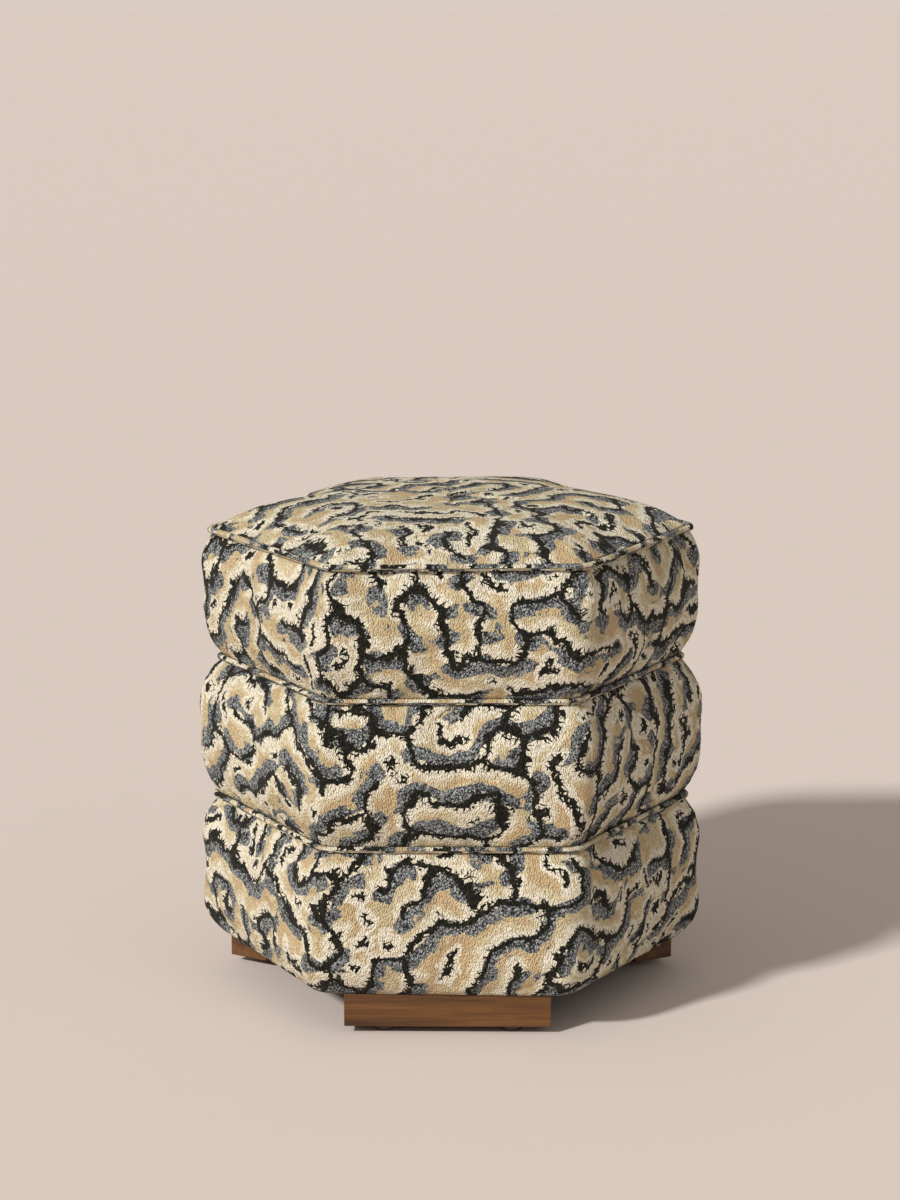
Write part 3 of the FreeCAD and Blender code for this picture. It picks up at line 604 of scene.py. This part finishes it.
def cushion(tier, levels, roots, bulge, shoulders, radii, cloth_start, turned=False):
    """One tier: its face, turned in at both seams and closed behind."""
    reach, level, along = tier_profile(levels, roots, bulge, shoulders)
    place = along / along[-1]
    at_seam = radii[0] + (radii[1] - radii[0]) * place
    radius = at_seam + (BULGE_RADIUS - at_seam) * np.sin(np.pi * place) ** ROUNDING_POWER
    outlines = [twisted(hexagon_at(r, c), z) for r, c, z in zip(reach, radius, level)]
    face = np.array([level_row(outline, z) for outline, z in zip(outlines, level)])
    coarse_rows = np.linspace(0, len(face) - 1, COARSE_ROWS).round().astype(int)
    coarse = face[coarse_rows][:, ::TIER_COLUMN_STEP]
    moved = settled(coarse, [0, -1], TIER_FULLNESS, TIER_SEEDS[tier])
    moved = capped(less_swollen(spread(moved, *face.shape[:2]), TIER_SWELL), SOFT_MOVE)
    first, last = (reach[0], level[0]), (reach[-1], level[-1])
    hidden = divided([last, *back_of(tier, level[0], level[-1]), first], HIDDEN_ROW_SIZE)[:-1]
    points = np.concatenate([face + moved, [level_row(ring(r), z) for r, z in hidden]])
    mesh = grid_mesh("cushion_" + tier, points, close_rows=True)
    lengths = np.hypot(*np.diff(np.array([last] + hidden), axis=0).T)
    along = np.concatenate([along, along[-1] + np.cumsum(lengths)])
    x = np.tile(TRAVEL, len(along))
    y = np.repeat(along, len(TRAVEL)) + cloth_start
    dress(mesh, x, y, TIER_CLOTH, turned)
    return merged(mesh)


# Node helpers
class Nodes:
    """A few short calls to put a node tree together."""

    def __init__(self, name):
        self.material = bpy.data.materials.new(name)
        self.material.use_nodes = True
        self.tree = self.material.node_tree
        self.tree.nodes.clear()
        self.shader = self.tree.nodes.new("ShaderNodeBsdfPrincipled")
        output = self.tree.nodes.new("ShaderNodeOutputMaterial")
        self.tree.links.new(self.shader.outputs[0], output.inputs[0])

    def put(self, socket, value):
        """Sets a socket to a value, or links it if the value is another node's output."""
        if isinstance(value, bpy.types.NodeSocket):
            self.tree.links.new(value, socket)
        else:
            socket.default_value = value

    def math(self, operation, *values):
        node = self.tree.nodes.new("ShaderNodeMath")
        node.operation = operation
        for socket, value in zip(node.inputs, values):
            self.put(socket, value)
        return node.outputs[0]

    def add(self, first, *others):
        for other in others:
            first = self.math("ADD", first, other)
        return first

    def less(self, a, b):
        return self.math("SUBTRACT", a, b)

    def times(self, a, b):
        return self.math("MULTIPLY", a, b)

    def below(self, a, b):
        return self.math("LESS_THAN", a, b)

    def above(self, a, b):
        return self.math("GREATER_THAN", a, b)

    def either(self, a, b):
        return self.math("MAXIMUM", a, b)

    def vector(self, operation, *values):
        node = self.tree.nodes.new("ShaderNodeVectorMath")
        node.operation = operation
        for socket, value in zip(node.inputs, values):
            self.put(socket, value)
        return node.outputs["Value"] if operation in ("LENGTH", "DOT_PRODUCT") else node.outputs[0]

    def attribute(self, name):
        node = self.tree.nodes.new("ShaderNodeAttribute")
        node.attribute_name = name
        return node.outputs["Vector"]

    def coordinates(self):
        return self.tree.nodes.new("ShaderNodeTexCoord").outputs["Object"]

    def split(self, vector):
        node = self.tree.nodes.new("ShaderNodeSeparateXYZ")
        self.put(node.inputs[0], vector)
        return node.outputs

    def scaled(self, vector, scale, turn=0.0):
        node = self.tree.nodes.new("ShaderNodeMapping")
        node.inputs["Scale"].default_value = scale if hasattr(scale, "__len__") else (scale,) * 3
        node.inputs["Rotation"].default_value = (0, 0, turn)
        self.put(node.inputs["Vector"], vector)
        return node.outputs[0]

    def noise(self, vector, detail=2.0, roughness=0.5):
        node = self.tree.nodes.new("ShaderNodeTexNoise")
        node.inputs["Scale"].default_value = 1.0
        node.inputs["Detail"].default_value = detail
        node.inputs["Roughness"].default_value = roughness
        self.put(node.inputs["Vector"], vector)
        return node.outputs["Fac"]

    def white(self, vector):
        node = self.tree.nodes.new("ShaderNodeTexWhiteNoise")
        node.noise_dimensions = "2D"
        self.put(node.inputs["Vector"], vector)
        return node.outputs["Value"]

    def voronoi(self, vector, feature="F1", output="Distance"):
        node = self.tree.nodes.new("ShaderNodeTexVoronoi")
        node.feature = feature
        node.inputs["Scale"].default_value = 1.0
        self.put(node.inputs["Vector"], vector)
        return node.outputs[output]

    def steps(self, value, *stops):
        """Colours at places from 0 to 1, blended between them."""
        node = self.tree.nodes.new("ShaderNodeValToRGB")
        ramp = node.color_ramp
        while len(ramp.elements) < len(stops):
            ramp.elements.new(0.5)
        for element, (place, colour) in zip(ramp.elements, stops):
            element.position = place
            element.color = (*colour, 1)
        self.put(node.inputs[0], value)
        return node.outputs[0]

    def mix(self, share, a, b):
        node = self.tree.nodes.new("ShaderNodeMix")
        node.data_type = "RGBA"
        self.put(node.inputs[0], share)
        self.put(node.inputs[6], a)
        self.put(node.inputs[7], b)
        return node.outputs[2]

    def ramp(self, value, low, high, to_low=0.0, to_high=1.0):
        """Maps low to to_low and high to to_high, and holds what lies outside."""
        node = self.tree.nodes.new("ShaderNodeMapRange")
        self.put(node.inputs[0], value)
        self.put(node.inputs[1], low)
        self.put(node.inputs[2], high)
        self.put(node.inputs[3], to_low)
        self.put(node.inputs[4], to_high)
        return node.outputs[0]

    def bump(self, height, distance, strength):
        node = self.tree.nodes.new("ShaderNodeBump")
        node.inputs["Strength"].default_value = strength
        node.inputs["Distance"].default_value = distance
        self.put(node.inputs["Height"], height)
        self.tree.links.new(node.outputs[0], self.shader.inputs["Normal"])

    def finish(self, colour, roughness, **fixed):
        """Sets the shader's colour, its roughness and any uniform values, and hands out the material."""
        self.put(self.shader.inputs["Base Color"], colour)
        self.put(self.shader.inputs["Roughness"], roughness)
        for name, value in fixed.items():
            self.shader.inputs[name.replace("_", " ")].default_value = value
        return self.material


def linear(red, green, blue):
    """A colour as a screen shows it, turned into the renderer's own scale."""
    return tuple(((c + 0.055) / 1.055) ** 2.4 if c > 0.04 else c / 12.92 for c in (red, green, blue))


def rgba(red, green, blue):
    return (*linear(red, green, blue), 1)


CREAM = rgba(0.955, 0.925, 0.845)
# Painted shade: the darker cream stands for the shade on the cream's ribs, put on some ribs more than
# others
CREAM_PAINTED_RIB_SHADE = rgba(0.875, 0.83, 0.73)
TAN = rgba(0.845, 0.78, 0.63)
TAN_PALE = rgba(0.90, 0.845, 0.705)
TAN_WARM = rgba(0.835, 0.725, 0.565)
TAN_DEEP = rgba(0.71, 0.63, 0.48)
SLATE_PALE = rgba(0.68, 0.69, 0.675)
SLATE = rgba(0.46, 0.475, 0.485)
SLATE_DARK = rgba(0.19, 0.19, 0.19)
INK = rgba(0.10, 0.10, 0.08)
# Painted highlight: the paler colour stands for light caught by the ribs of the black threads
INK_PAINTED_HIGHLIGHT = rgba(0.22, 0.21, 0.165)

# Weave, teeth and thorns of the woven lines, in metres
RIB = 0.0013
RIB_TURN = math.radians(32)
WEAVE = (0.0012, 0.0023)
WEAVE_HEIGHT = 0.0020
TOOTH = 0.0042
THORN = 0.0056
WOBBLE = 0.006
FUZZ = 0.0006
LINE_HALF = 0.0019
LINE_WOBBLE = 0.0016
PALE_TEETH = 0.0020
SHADED_TEETH = 0.0012
THORN_START = 0.001
PALE_THORNS = 0.0066
SHADED_THORNS = 0.0036
THORN_HALF = 0.0014
FARTHEST_INK = 0.009
TWIG_HALF = 0.0017
TWIG_TEETH = 0.0016
TWIG_THORNS = 0.0052
TWIG_THORN_HALF = 0.0012

# How far the shades beside a line reach from it, in metres
RAGGED_TEETH = 0.0026
RAGGED_WOBBLE = 0.005
SHADE_REACH = 0.0124
TWIG_CLEAR = 0.006
CREAM_REACH = 0.0098
TWIG_CREAM = 0.0085
TAN_PALE_REACH = 0.0136
CORE_EDGE = (0.0130, 0.0138)
CORE_PATCH = 0.05
SPECKLED_FROM = 0.003
SPECKLED_TO = 0.012

# Where a line's side turns from pale, below the first value, to shaded, above the second
TEETH_TURN = (-0.3, 0.3)
SHADE_TURN = (-0.05, 0.2)
CREAM_TURN = (-0.1, 0.15)

# Between which values of a dot product the thorns fade, and of a noise the warm patches begin
THORN_ANGLES = (0.55, 0.85)
CORE_PATCHES = (0.40, 0.44)

# At which values of the weave's noises a thread changes shade, where the black threads get a painted
# highlight, how bright the painted highlight on the thread tops and the painted shade in the pits between
# them are, and how rough a thread is
PALE_SPECKS = 0.78
DARK_SPECKS = (0.50, 0.15)
INK_HIGHLIGHT_RIBS = (0.5, 1.0)
WEAVE_PITS = (0.3, 0.8)
WEAVE_PAINTED_LIGHT = (1.08, 0.74)
WEAVE_ROUGHNESS = (0.82, 0.94)


def thorns(n, cloth, way):
    """How far each point is from a crack between cells, and half the thorn's width at its line.

    Only the cracks that run away from the line carry a thorn."""
    place = n.scaled(cloth, 1 / THORN)
    crossing = n.times(n.voronoi(place, "DISTANCE_TO_EDGE"), THORN)
    border = n.vector("SUBTRACT", n.voronoi(place, "F2", "Position"), n.voronoi(place, "F1", "Position"))
    along = n.vector("DOT_PRODUCT", n.vector("NORMALIZE", way), n.vector("NORMALIZE", border))
    return crossing, n.ramp(n.math("ABSOLUTE", along), *THORN_ANGLES, THORN_HALF, 0.0)


def fabric():
    """Woven lines with teeth, a speckled shade on one side of each and a pale edge on the other."""
    n = Nodes("woven_cloth")
    cloth = n.attribute("cloth")
    line = n.attribute("line")
    distance = n.split(line)[2]
    way = n.vector("MULTIPLY", line, (1, 1, 0))
    near = n.vector("LENGTH", way)
    side, twig, _ = n.split(n.attribute("shade"))

    grain = n.white(n.vector("FLOOR", n.scaled(cloth, 1 / RIB, RIB_TURN)))
    tooth = n.less(n.split(n.voronoi(n.scaled(cloth, 1 / TOOTH), output="Color"))[0], 0.5)
    wobble = n.less(n.noise(n.scaled(cloth, 1 / WOBBLE)), 0.5)
    fuzz = n.times(n.less(grain, 0.5), FUZZ)
    ragged = n.add(n.times(tooth, RAGGED_TEETH), n.times(wobble, RAGGED_WOBBLE))
    edge = n.add(distance, ragged, fuzz)

    teeth = n.times(tooth, n.ramp(side, *TEETH_TURN, PALE_TEETH, SHADED_TEETH))
    thick = n.add(LINE_HALF, teeth, n.times(wobble, LINE_WOBBLE), fuzz)
    crossing, thorn_half = thorns(n, cloth, way)
    thorn_end = n.ramp(side, *TEETH_TURN, PALE_THORNS, SHADED_THORNS)
    thorn = n.below(crossing, n.ramp(near, THORN_START, thorn_end, thorn_half, 0.0))
    inked = n.times(n.either(n.below(near, thick), thorn), n.below(distance, FARTHEST_INK))
    twig_thorn = n.below(crossing, n.ramp(twig, THORN_START, TWIG_THORNS, TWIG_THORN_HALF, 0.0))
    twig_inked = n.below(twig, n.add(TWIG_HALF, n.times(tooth, TWIG_TEETH)))
    inked = n.either(n.either(inked, twig_thorn), twig_inked)

    shaded = n.below(edge, n.ramp(side, *SHADE_TURN, 0.0, SHADE_REACH))
    shaded = n.times(shaded, n.above(twig, TWIG_CLEAR))
    light = n.below(edge, n.ramp(side, *CREAM_TURN, CREAM_REACH, 0.0))
    light = n.either(light, n.below(n.add(twig, ragged), TWIG_CREAM))
    pale = n.below(edge, n.ramp(side, *CREAM_TURN, TAN_PALE_REACH, 0.0))
    patch = n.ramp(n.noise(n.scaled(cloth, 1 / CORE_PATCH), 0.0), *CORE_PATCHES)

    slate = n.mix(n.above(grain, PALE_SPECKS), SLATE, SLATE_PALE)
    dark_share = n.ramp(distance, SPECKLED_FROM, SPECKLED_TO, *DARK_SPECKS)
    slate = n.mix(n.below(grain, dark_share), slate, SLATE_DARK)
    # Cream with painted shade on its ribs
    cream_and_rib_shade = n.mix(n.math("POWER", grain, 0.5), CREAM_PAINTED_RIB_SHADE, CREAM)
    tan = n.mix(n.times(n.ramp(edge, *CORE_EDGE), patch), TAN, TAN_WARM)
    tan = n.mix(pale, tan, TAN_PALE)
    tan = n.mix(n.times(grain, 0.5), tan, TAN_DEEP)
    # Black ink with a painted highlight on some of its ribs
    ink_with_highlight = n.mix(n.ramp(grain, *INK_HIGHLIGHT_RIBS), INK, INK_PAINTED_HIGHLIGHT)
    colour = n.mix(light, tan, cream_and_rib_shade)
    colour = n.mix(shaded, colour, slate)
    colour = n.mix(inked, colour, ink_with_highlight)

    weave = n.voronoi(n.scaled(cloth, (1 / WEAVE[0], 1 / WEAVE[1], 1), RIB_TURN))
    # Painted light and shade of the weave: the colour is brightened on the thread tops and darkened in the
    # pits between them, on top of the bump
    colour = n.vector("MULTIPLY", colour, n.ramp(weave, *WEAVE_PITS, *WEAVE_PAINTED_LIGHT))
    n.bump(n.less(1.0, weave), WEAVE_HEIGHT, 1.0)
    rough = n.ramp(grain, 0.0, 1.0, *WEAVE_ROUGHNESS)
    return n.finish(colour, rough, Sheen_Weight=0.03, Sheen_Roughness=0.5, Specular_IOR_Level=0.12)


# Wood: how many features go on a metre along the block, across it and up
FIBRES = (14, 500, 900)
FIGURE = (6, 60, 90)
PORES = (60, 1500, 2200)
PORES_SHOWN = (0.62, 0.72)
WALNUT_RELIEF = 0.0002
WALNUT_ROUGHNESS = (0.42, 0.55)
WALNUT_TONES = (
    (0.34, linear(0.22, 0.127, 0.052)),
    (0.50, linear(0.35, 0.218, 0.092)),
    (0.64, linear(0.46, 0.305, 0.135)),
)
PORE_BROWN = rgba(0.22, 0.12, 0.06)


def walnut(turn):
    """Wood with its grain along one block, turned to lie with it."""
    n = Nodes("walnut_%d" % round(math.degrees(turn)))
    node = n.tree.nodes.new("ShaderNodeVectorRotate")
    node.rotation_type = "Z_AXIS"
    node.inputs["Angle"].default_value = turn
    n.put(node.inputs["Vector"], n.coordinates())
    place = node.outputs[0]
    fibres = n.noise(n.scaled(place, FIBRES), 3.0, 0.6)
    figure = n.noise(n.scaled(place, FIGURE), 3.0, 0.55)
    pores = n.noise(n.scaled(place, PORES), 1.0)
    tone = n.add(n.times(figure, 0.6), n.times(fibres, 0.4))
    colour = n.steps(tone, *WALNUT_TONES)
    dark = n.times(n.ramp(pores, *PORES_SHOWN), 0.5)
    colour = n.mix(dark, colour, PORE_BROWN)
    n.bump(n.less(fibres, dark), WALNUT_RELIEF, 0.4)
    rough = n.ramp(fibres, 0.3, 0.7, *WALNUT_ROUGHNESS)
    return n.finish(colour, rough, Specular_IOR_Level=0.45)


ROUGHNESS_SPREAD = 0.06


def speckled(name, dark, pale, size, roughness, metallic=0.0, bump=0.0001, stretch=(1, 1, 1)):
    """A plain finish with small variations of colour, roughness and height."""
    n = Nodes(name)
    place = n.scaled(n.coordinates(), tuple(s / size for s in stretch))
    grain = n.noise(place, 4.0, 0.6)
    n.bump(grain, bump, 0.5)
    colour = n.steps(grain, (0.35, linear(*dark)), (0.65, linear(*pale)))
    rough = n.ramp(grain, 0.3, 0.7, roughness - ROUGHNESS_SPREAD, roughness + ROUGHNESS_SPREAD)
    return n.finish(colour, rough, Metallic=metallic)


FABRIC = fabric()
FINISHES = {
    "glide": speckled("glide_plastic", (0.24, 0.13, 0.09), (0.32, 0.18, 0.125), size=0.002, roughness=0.45),
    "steel": speckled(
        "zinc_steel", (0.50, 0.50, 0.51), (0.66, 0.66, 0.67),
        size=0.001, roughness=0.38, metallic=1.0,
    ),
    "plywood": speckled(
        "plywood", (0.68, 0.55, 0.38), (0.80, 0.69, 0.52),
        size=0.006, roughness=0.65, bump=0.0002, stretch=(0.1, 1, 4),
    ),
    "pine": speckled(
        "pine", (0.74, 0.58, 0.36), (0.86, 0.73, 0.52),
        size=0.008, roughness=0.6, bump=0.0002, stretch=(1, 1, 0.08),
    ),
    "dust": speckled(
        "dust_cloth", (0.045, 0.045, 0.05), (0.09, 0.09, 0.095),
        size=0.0009, roughness=0.9, bump=0.0002,
    ),
}
BLOCK_TURNS = {"plinth_block_front": 0, "plinth_block_back_right": -120, "plinth_block_back_left": 120}


def finish_of(node):
    """The finish of a node of the frame."""
    if node in BLOCK_TURNS:
        return walnut(math.radians(BLOCK_TURNS[node]))
    if node.startswith("glide_nails") or "screws" in node or "staples" in node:
        return FINISHES["steel"]
    for start, finish in (("glide", "glide"), ("corner_block", "pine"), ("dust", "dust")):
        if node.startswith(start):
            return FINISHES[finish]
    return FINISHES["plywood"]


for name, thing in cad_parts.items():
    thing.data.materials.clear()
    thing.data.materials.append(finish_of(name))

# Tiers
TIERS = {
    "lower": {
        "levels": (HEM_BOTTOM, LOWER_SEAM - SEAM_GAP),
        "roots": (HEM_REACH, LOWER_ROOT),
        "bulge": LOWER_BULGE,
        "shoulders": LOWER_SHOULDERS,
        "radii": (HEM_RADIUS, SEAM_RADIUS),
        "cloth_start": LOWER_CLOTH_START,
    },
    "middle": {
        "levels": (LOWER_SEAM + SEAM_GAP, UPPER_SEAM - SEAM_GAP),
        "roots": (LOWER_ROOT, UPPER_ROOT),
        "bulge": MIDDLE_BULGE,
        "shoulders": MIDDLE_SHOULDERS,
        "radii": (SEAM_RADIUS, SEAM_RADIUS),
        "cloth_start": MIDDLE_CLOTH_START,
        "turned": True,
    },
    "upper": {
        "levels": (UPPER_SEAM + SEAM_GAP, SEAT_SEAM - SEAM_GAP),
        "roots": (UPPER_ROOT, SEAT_ROOT),
        "bulge": UPPER_BULGE,
        "shoulders": UPPER_SHOULDERS,
        "radii": (SEAM_RADIUS, SEAT_SEAM_RADIUS),
        "cloth_start": UPPER_CLOTH_START,
    },
}
for tier, shape in TIERS.items():
    mesh = cushion(tier, **shape)
    thing = piece("cushion_" + tier, mesh, FABRIC)
    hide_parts("cover_" + tier, "wadding_" + tier, "foam_" + tier)


def seat():
    """The crowned seat, with its foam block down to the deck."""
    rows = []
    for share in np.concatenate([np.linspace(1, CROWN_START, CROWN_ROWS), [0.0]]):
        level = SEAT_SEAM + SEAM_GAP + DOME_RISE * (1 - share ** DOME_POWER)
        inward = min(1.0, (1 - share) / ROUND_WITHIN)
        roundness = SEAT_SEAM_RADIUS / SEAT_ROOT
        roundness += (1 - roundness) * smooth_step(inward)
        outline = hexagon_at(SEAT_ROOT * share, SEAT_ROOT * share * roundness)
        row = level_row(twisted(outline, level), level)
        row[:, 2] += DOME_TILT * row[:, 0] * (1 - share ** DOME_POWER)
        rows.append(row)
    crown = np.array(rows)
    moved = settled(crown[::SEAT_ROW_STEP, ::SEAT_COLUMN_STEP], [0], SEAT_FULLNESS, SEAT_SEED)
    moved = capped(less_swollen(spread(moved, *crown.shape[:2]), SEAT_SWELL), SOFT_MOVE)
    rows = list(crown + moved)
    for share in np.linspace(0, 1, BLOCK_FLOOR_ROWS):
        outline = hexagon_at(SEAT_BLOCK * share, SEAT_BLOCK_RADIUS * share)
        rows.append(level_row(outline, DECK_TOP))
    for level in np.linspace(DECK_TOP, SEAT_SEAM + SEAM_GAP, BLOCK_WALL_ROWS + 1)[1:]:
        rows.append(level_row(ring(SEAT_BLOCK), level))
    points = np.array(rows)
    mesh = grid_mesh("cushion_seat", points, close_rows=True)
    flat = points.reshape(-1, 3)
    x = flat[:, 0] + SEAT_CLOTH_START[0]
    y = flat[:, 1] * SEAT_CLOTH_STRETCH + SEAT_CLOTH_START[1]
    dress(mesh, x, y, SEAT_CLOTH)
    return merged(mesh)


thing = piece("cushion_seat", seat(), FABRIC)
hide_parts("cover_seat", "wadding_seat", "foam_seat")


# Welts
def welt(name, level, reach, radius, size, cloth_start):
    """A covered cord round the tuffet."""
    angles = np.linspace(0, 2 * math.pi, WELT_SIDES + 1)[:-1]
    rows = []
    for angle in angles:
        out = size * math.cos(angle)
        outline = hexagon_at(reach + out, radius + out)
        rows.append(level_row(twisted(outline, level), level + size * math.sin(angle)))
    points = np.array(rows)
    mesh = grid_mesh(name, points, close_rows=True)
    x = np.tile(TRAVEL, len(angles))
    y = np.repeat(size * angles, len(TRAVEL)) + cloth_start
    dress(mesh, x + WELT_CLOTH_SHIFT, y, SEAT_CLOTH)
    return merged(mesh)


WELTS = {
    "lower": (LOWER_SEAM, LOWER_WELT_REACH, SEAM_WELT_RADIUS, SEAM_WELT_SIZE, LOWER_WELT_CLOTH),
    "upper": (UPPER_SEAM, UPPER_WELT_REACH, SEAM_WELT_RADIUS, SEAM_WELT_SIZE, UPPER_WELT_CLOTH),
    "seat": (SEAT_SEAM, SEAT_WELT_REACH, SEAT_WELT_RADIUS, SEAT_WELT_SIZE, SEAT_WELT_CLOTH),
}
for name, shape in WELTS.items():
    mesh = welt("piping_" + name, *shape)
    thing = piece("piping_" + name, mesh, FABRIC)
    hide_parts("welt_" + name, "welt_cord_" + name)


# Dust cover: non-woven cloth stapled flat under the base
def dust_cover():
    """The stretched sheet, with slack between its staples and a little sag in the middle."""
    rng = np.random.default_rng(DUST_SEED)
    bearing = np.arctan2(ROUND[0][:, 1], ROUND[0][:, 0])
    waves = [np.cos(count * bearing + rng.uniform(0, DUST_PHASE)) for count in DUST_WAVES]
    slack = sum(waves) / len(waves)
    rows = []
    for share in np.linspace(0, 1, DUST_ROWS):
        sag = DUST_SAG * (1 - share ** 2) ** 2 * (1 + DUST_SAG_CHANGE * slack * share)
        pucker = DUST_PUCKER * share ** 4 * (1 - share ** 12) * (1 + slack)
        outline = hexagon_at(DUST_REACH * share, DUST_RADIUS * share)
        rows.append(np.column_stack([outline, DUST_BOTTOM - sag - pucker]))
    under = np.array(rows)
    over = under[::-1] + (0, 0, DUST_THICKNESS)
    return merged(grid_mesh("dust_sheet", np.concatenate([under, over])))


thing = piece("dust_sheet", dust_cover(), FINISHES["dust"])
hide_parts("dust_cover")

# Floor, lights and camera
FLOOR = rgba(0.84, 0.79, 0.76)
FLOOR_HALF = 60
FLOOR_ROUGHNESS = 0.9
BACKGROUND = rgba(0.86, 0.80, 0.76)
AMBIENT = (1.0, 0.95, 0.89, 1)
AMBIENT_STRENGTH = 0.41


def floor():
    """A plain floor that runs to the horizon."""
    corners = [[(x, y, 0.0) for x in (-FLOOR_HALF, FLOOR_HALF)] for y in (-FLOOR_HALF, FLOOR_HALF)]
    mesh = grid_mesh("floor", np.array(corners))
    thing = bpy.data.objects.new("floor", mesh)
    bpy.context.collection.objects.link(thing)
    mesh.materials.append(Nodes("pale_floor").finish(FLOOR, FLOOR_ROUGHNESS))


floor()


def studio():
    """The world: plain light on the tuffet, and a pale background where the camera or a gloss sees it."""
    world = bpy.data.worlds.new("studio")
    bpy.context.scene.world = world
    world.use_nodes = True
    nodes, links = world.node_tree.nodes, world.node_tree.links
    ambient = nodes["Background"]
    ambient.inputs[0].default_value = AMBIENT
    ambient.inputs[1].default_value = AMBIENT_STRENGTH
    seen = nodes.new("ShaderNodeBackground")
    seen.inputs[0].default_value = BACKGROUND
    ray = nodes.new("ShaderNodeLightPath")
    either = nodes.new("ShaderNodeMath")
    either.operation = "MAXIMUM"
    links.new(ray.outputs["Is Camera Ray"], either.inputs[0])
    links.new(ray.outputs["Is Glossy Ray"], either.inputs[1])
    choice = nodes.new("ShaderNodeMixShader")
    links.new(either.outputs[0], choice.inputs[0])
    links.new(ambient.outputs[0], choice.inputs[1])
    links.new(seen.outputs[0], choice.inputs[2])
    links.new(choice.outputs[0], nodes["World Output"].inputs[0])


studio()


def lamp(name, kind, energy, colour, place, target, **settings):
    """A light at a place, turned towards its target."""
    data = bpy.data.lights.new(name, kind)
    data.energy = energy
    data.color = colour
    for key, value in settings.items():
        setattr(data, key, value)
    thing = bpy.data.objects.new(name, data)
    bpy.context.collection.objects.link(thing)
    thing.location = place
    way = np.array(target) - np.array(place)
    flat = math.hypot(way[0], way[1])
    thing.rotation_euler = (math.atan2(flat, -way[2]), 0, math.atan2(-way[0], way[1]))


KEY_STRENGTH = 3.45
KEY_COLOUR = (1.0, 0.98, 0.95)
KEY_PLACE = (-2.15, -2.0, 1.91)
KEY_TARGET = (0, 0, 0)
KEY_SOFTNESS = math.radians(6)
FILL_WATTS = 3
FILL_COLOUR = (1.0, 0.985, 0.97)
FILL_PLACE = (1.8, -2.2, 1.6)
FILL_TARGET = (0, 0, 0.2)
FILL_SIZE = 1.6
lamp("key", "SUN", KEY_STRENGTH, KEY_COLOUR, KEY_PLACE, KEY_TARGET, angle=KEY_SOFTNESS)
lamp("fill", "AREA", FILL_WATTS, FILL_COLOUR, FILL_PLACE, FILL_TARGET, shape="DISK", size=FILL_SIZE)

# Camera, fitted to the photograph's own height in pixels
PHOTO_TALL = 1200
FOCAL_PIXELS = 3117
SIDEWAYS_PIXELS = 0.9
SENSOR = 36.0
PITCH = 0.2013
CAMERA_AWAY = 2.844
CAMERA_HEIGHT = 0.938
AZIMUTH = math.radians(0.9)
camera_data = bpy.data.cameras.new("camera")
camera_data.sensor_width = SENSOR
camera_data.lens = FOCAL_PIXELS * SENSOR / PHOTO_TALL
camera = bpy.data.objects.new("camera", camera_data)
bpy.context.collection.objects.link(camera)
camera.location = (CAMERA_AWAY * math.sin(AZIMUTH), -CAMERA_AWAY * math.cos(AZIMUTH), CAMERA_HEIGHT)
camera.rotation_euler = (math.pi / 2 - PITCH, 0, AZIMUTH + SIDEWAYS_PIXELS / FOCAL_PIXELS)
bpy.context.scene.camera = camera
bpy.context.scene.view_settings.view_transform = "Standard"
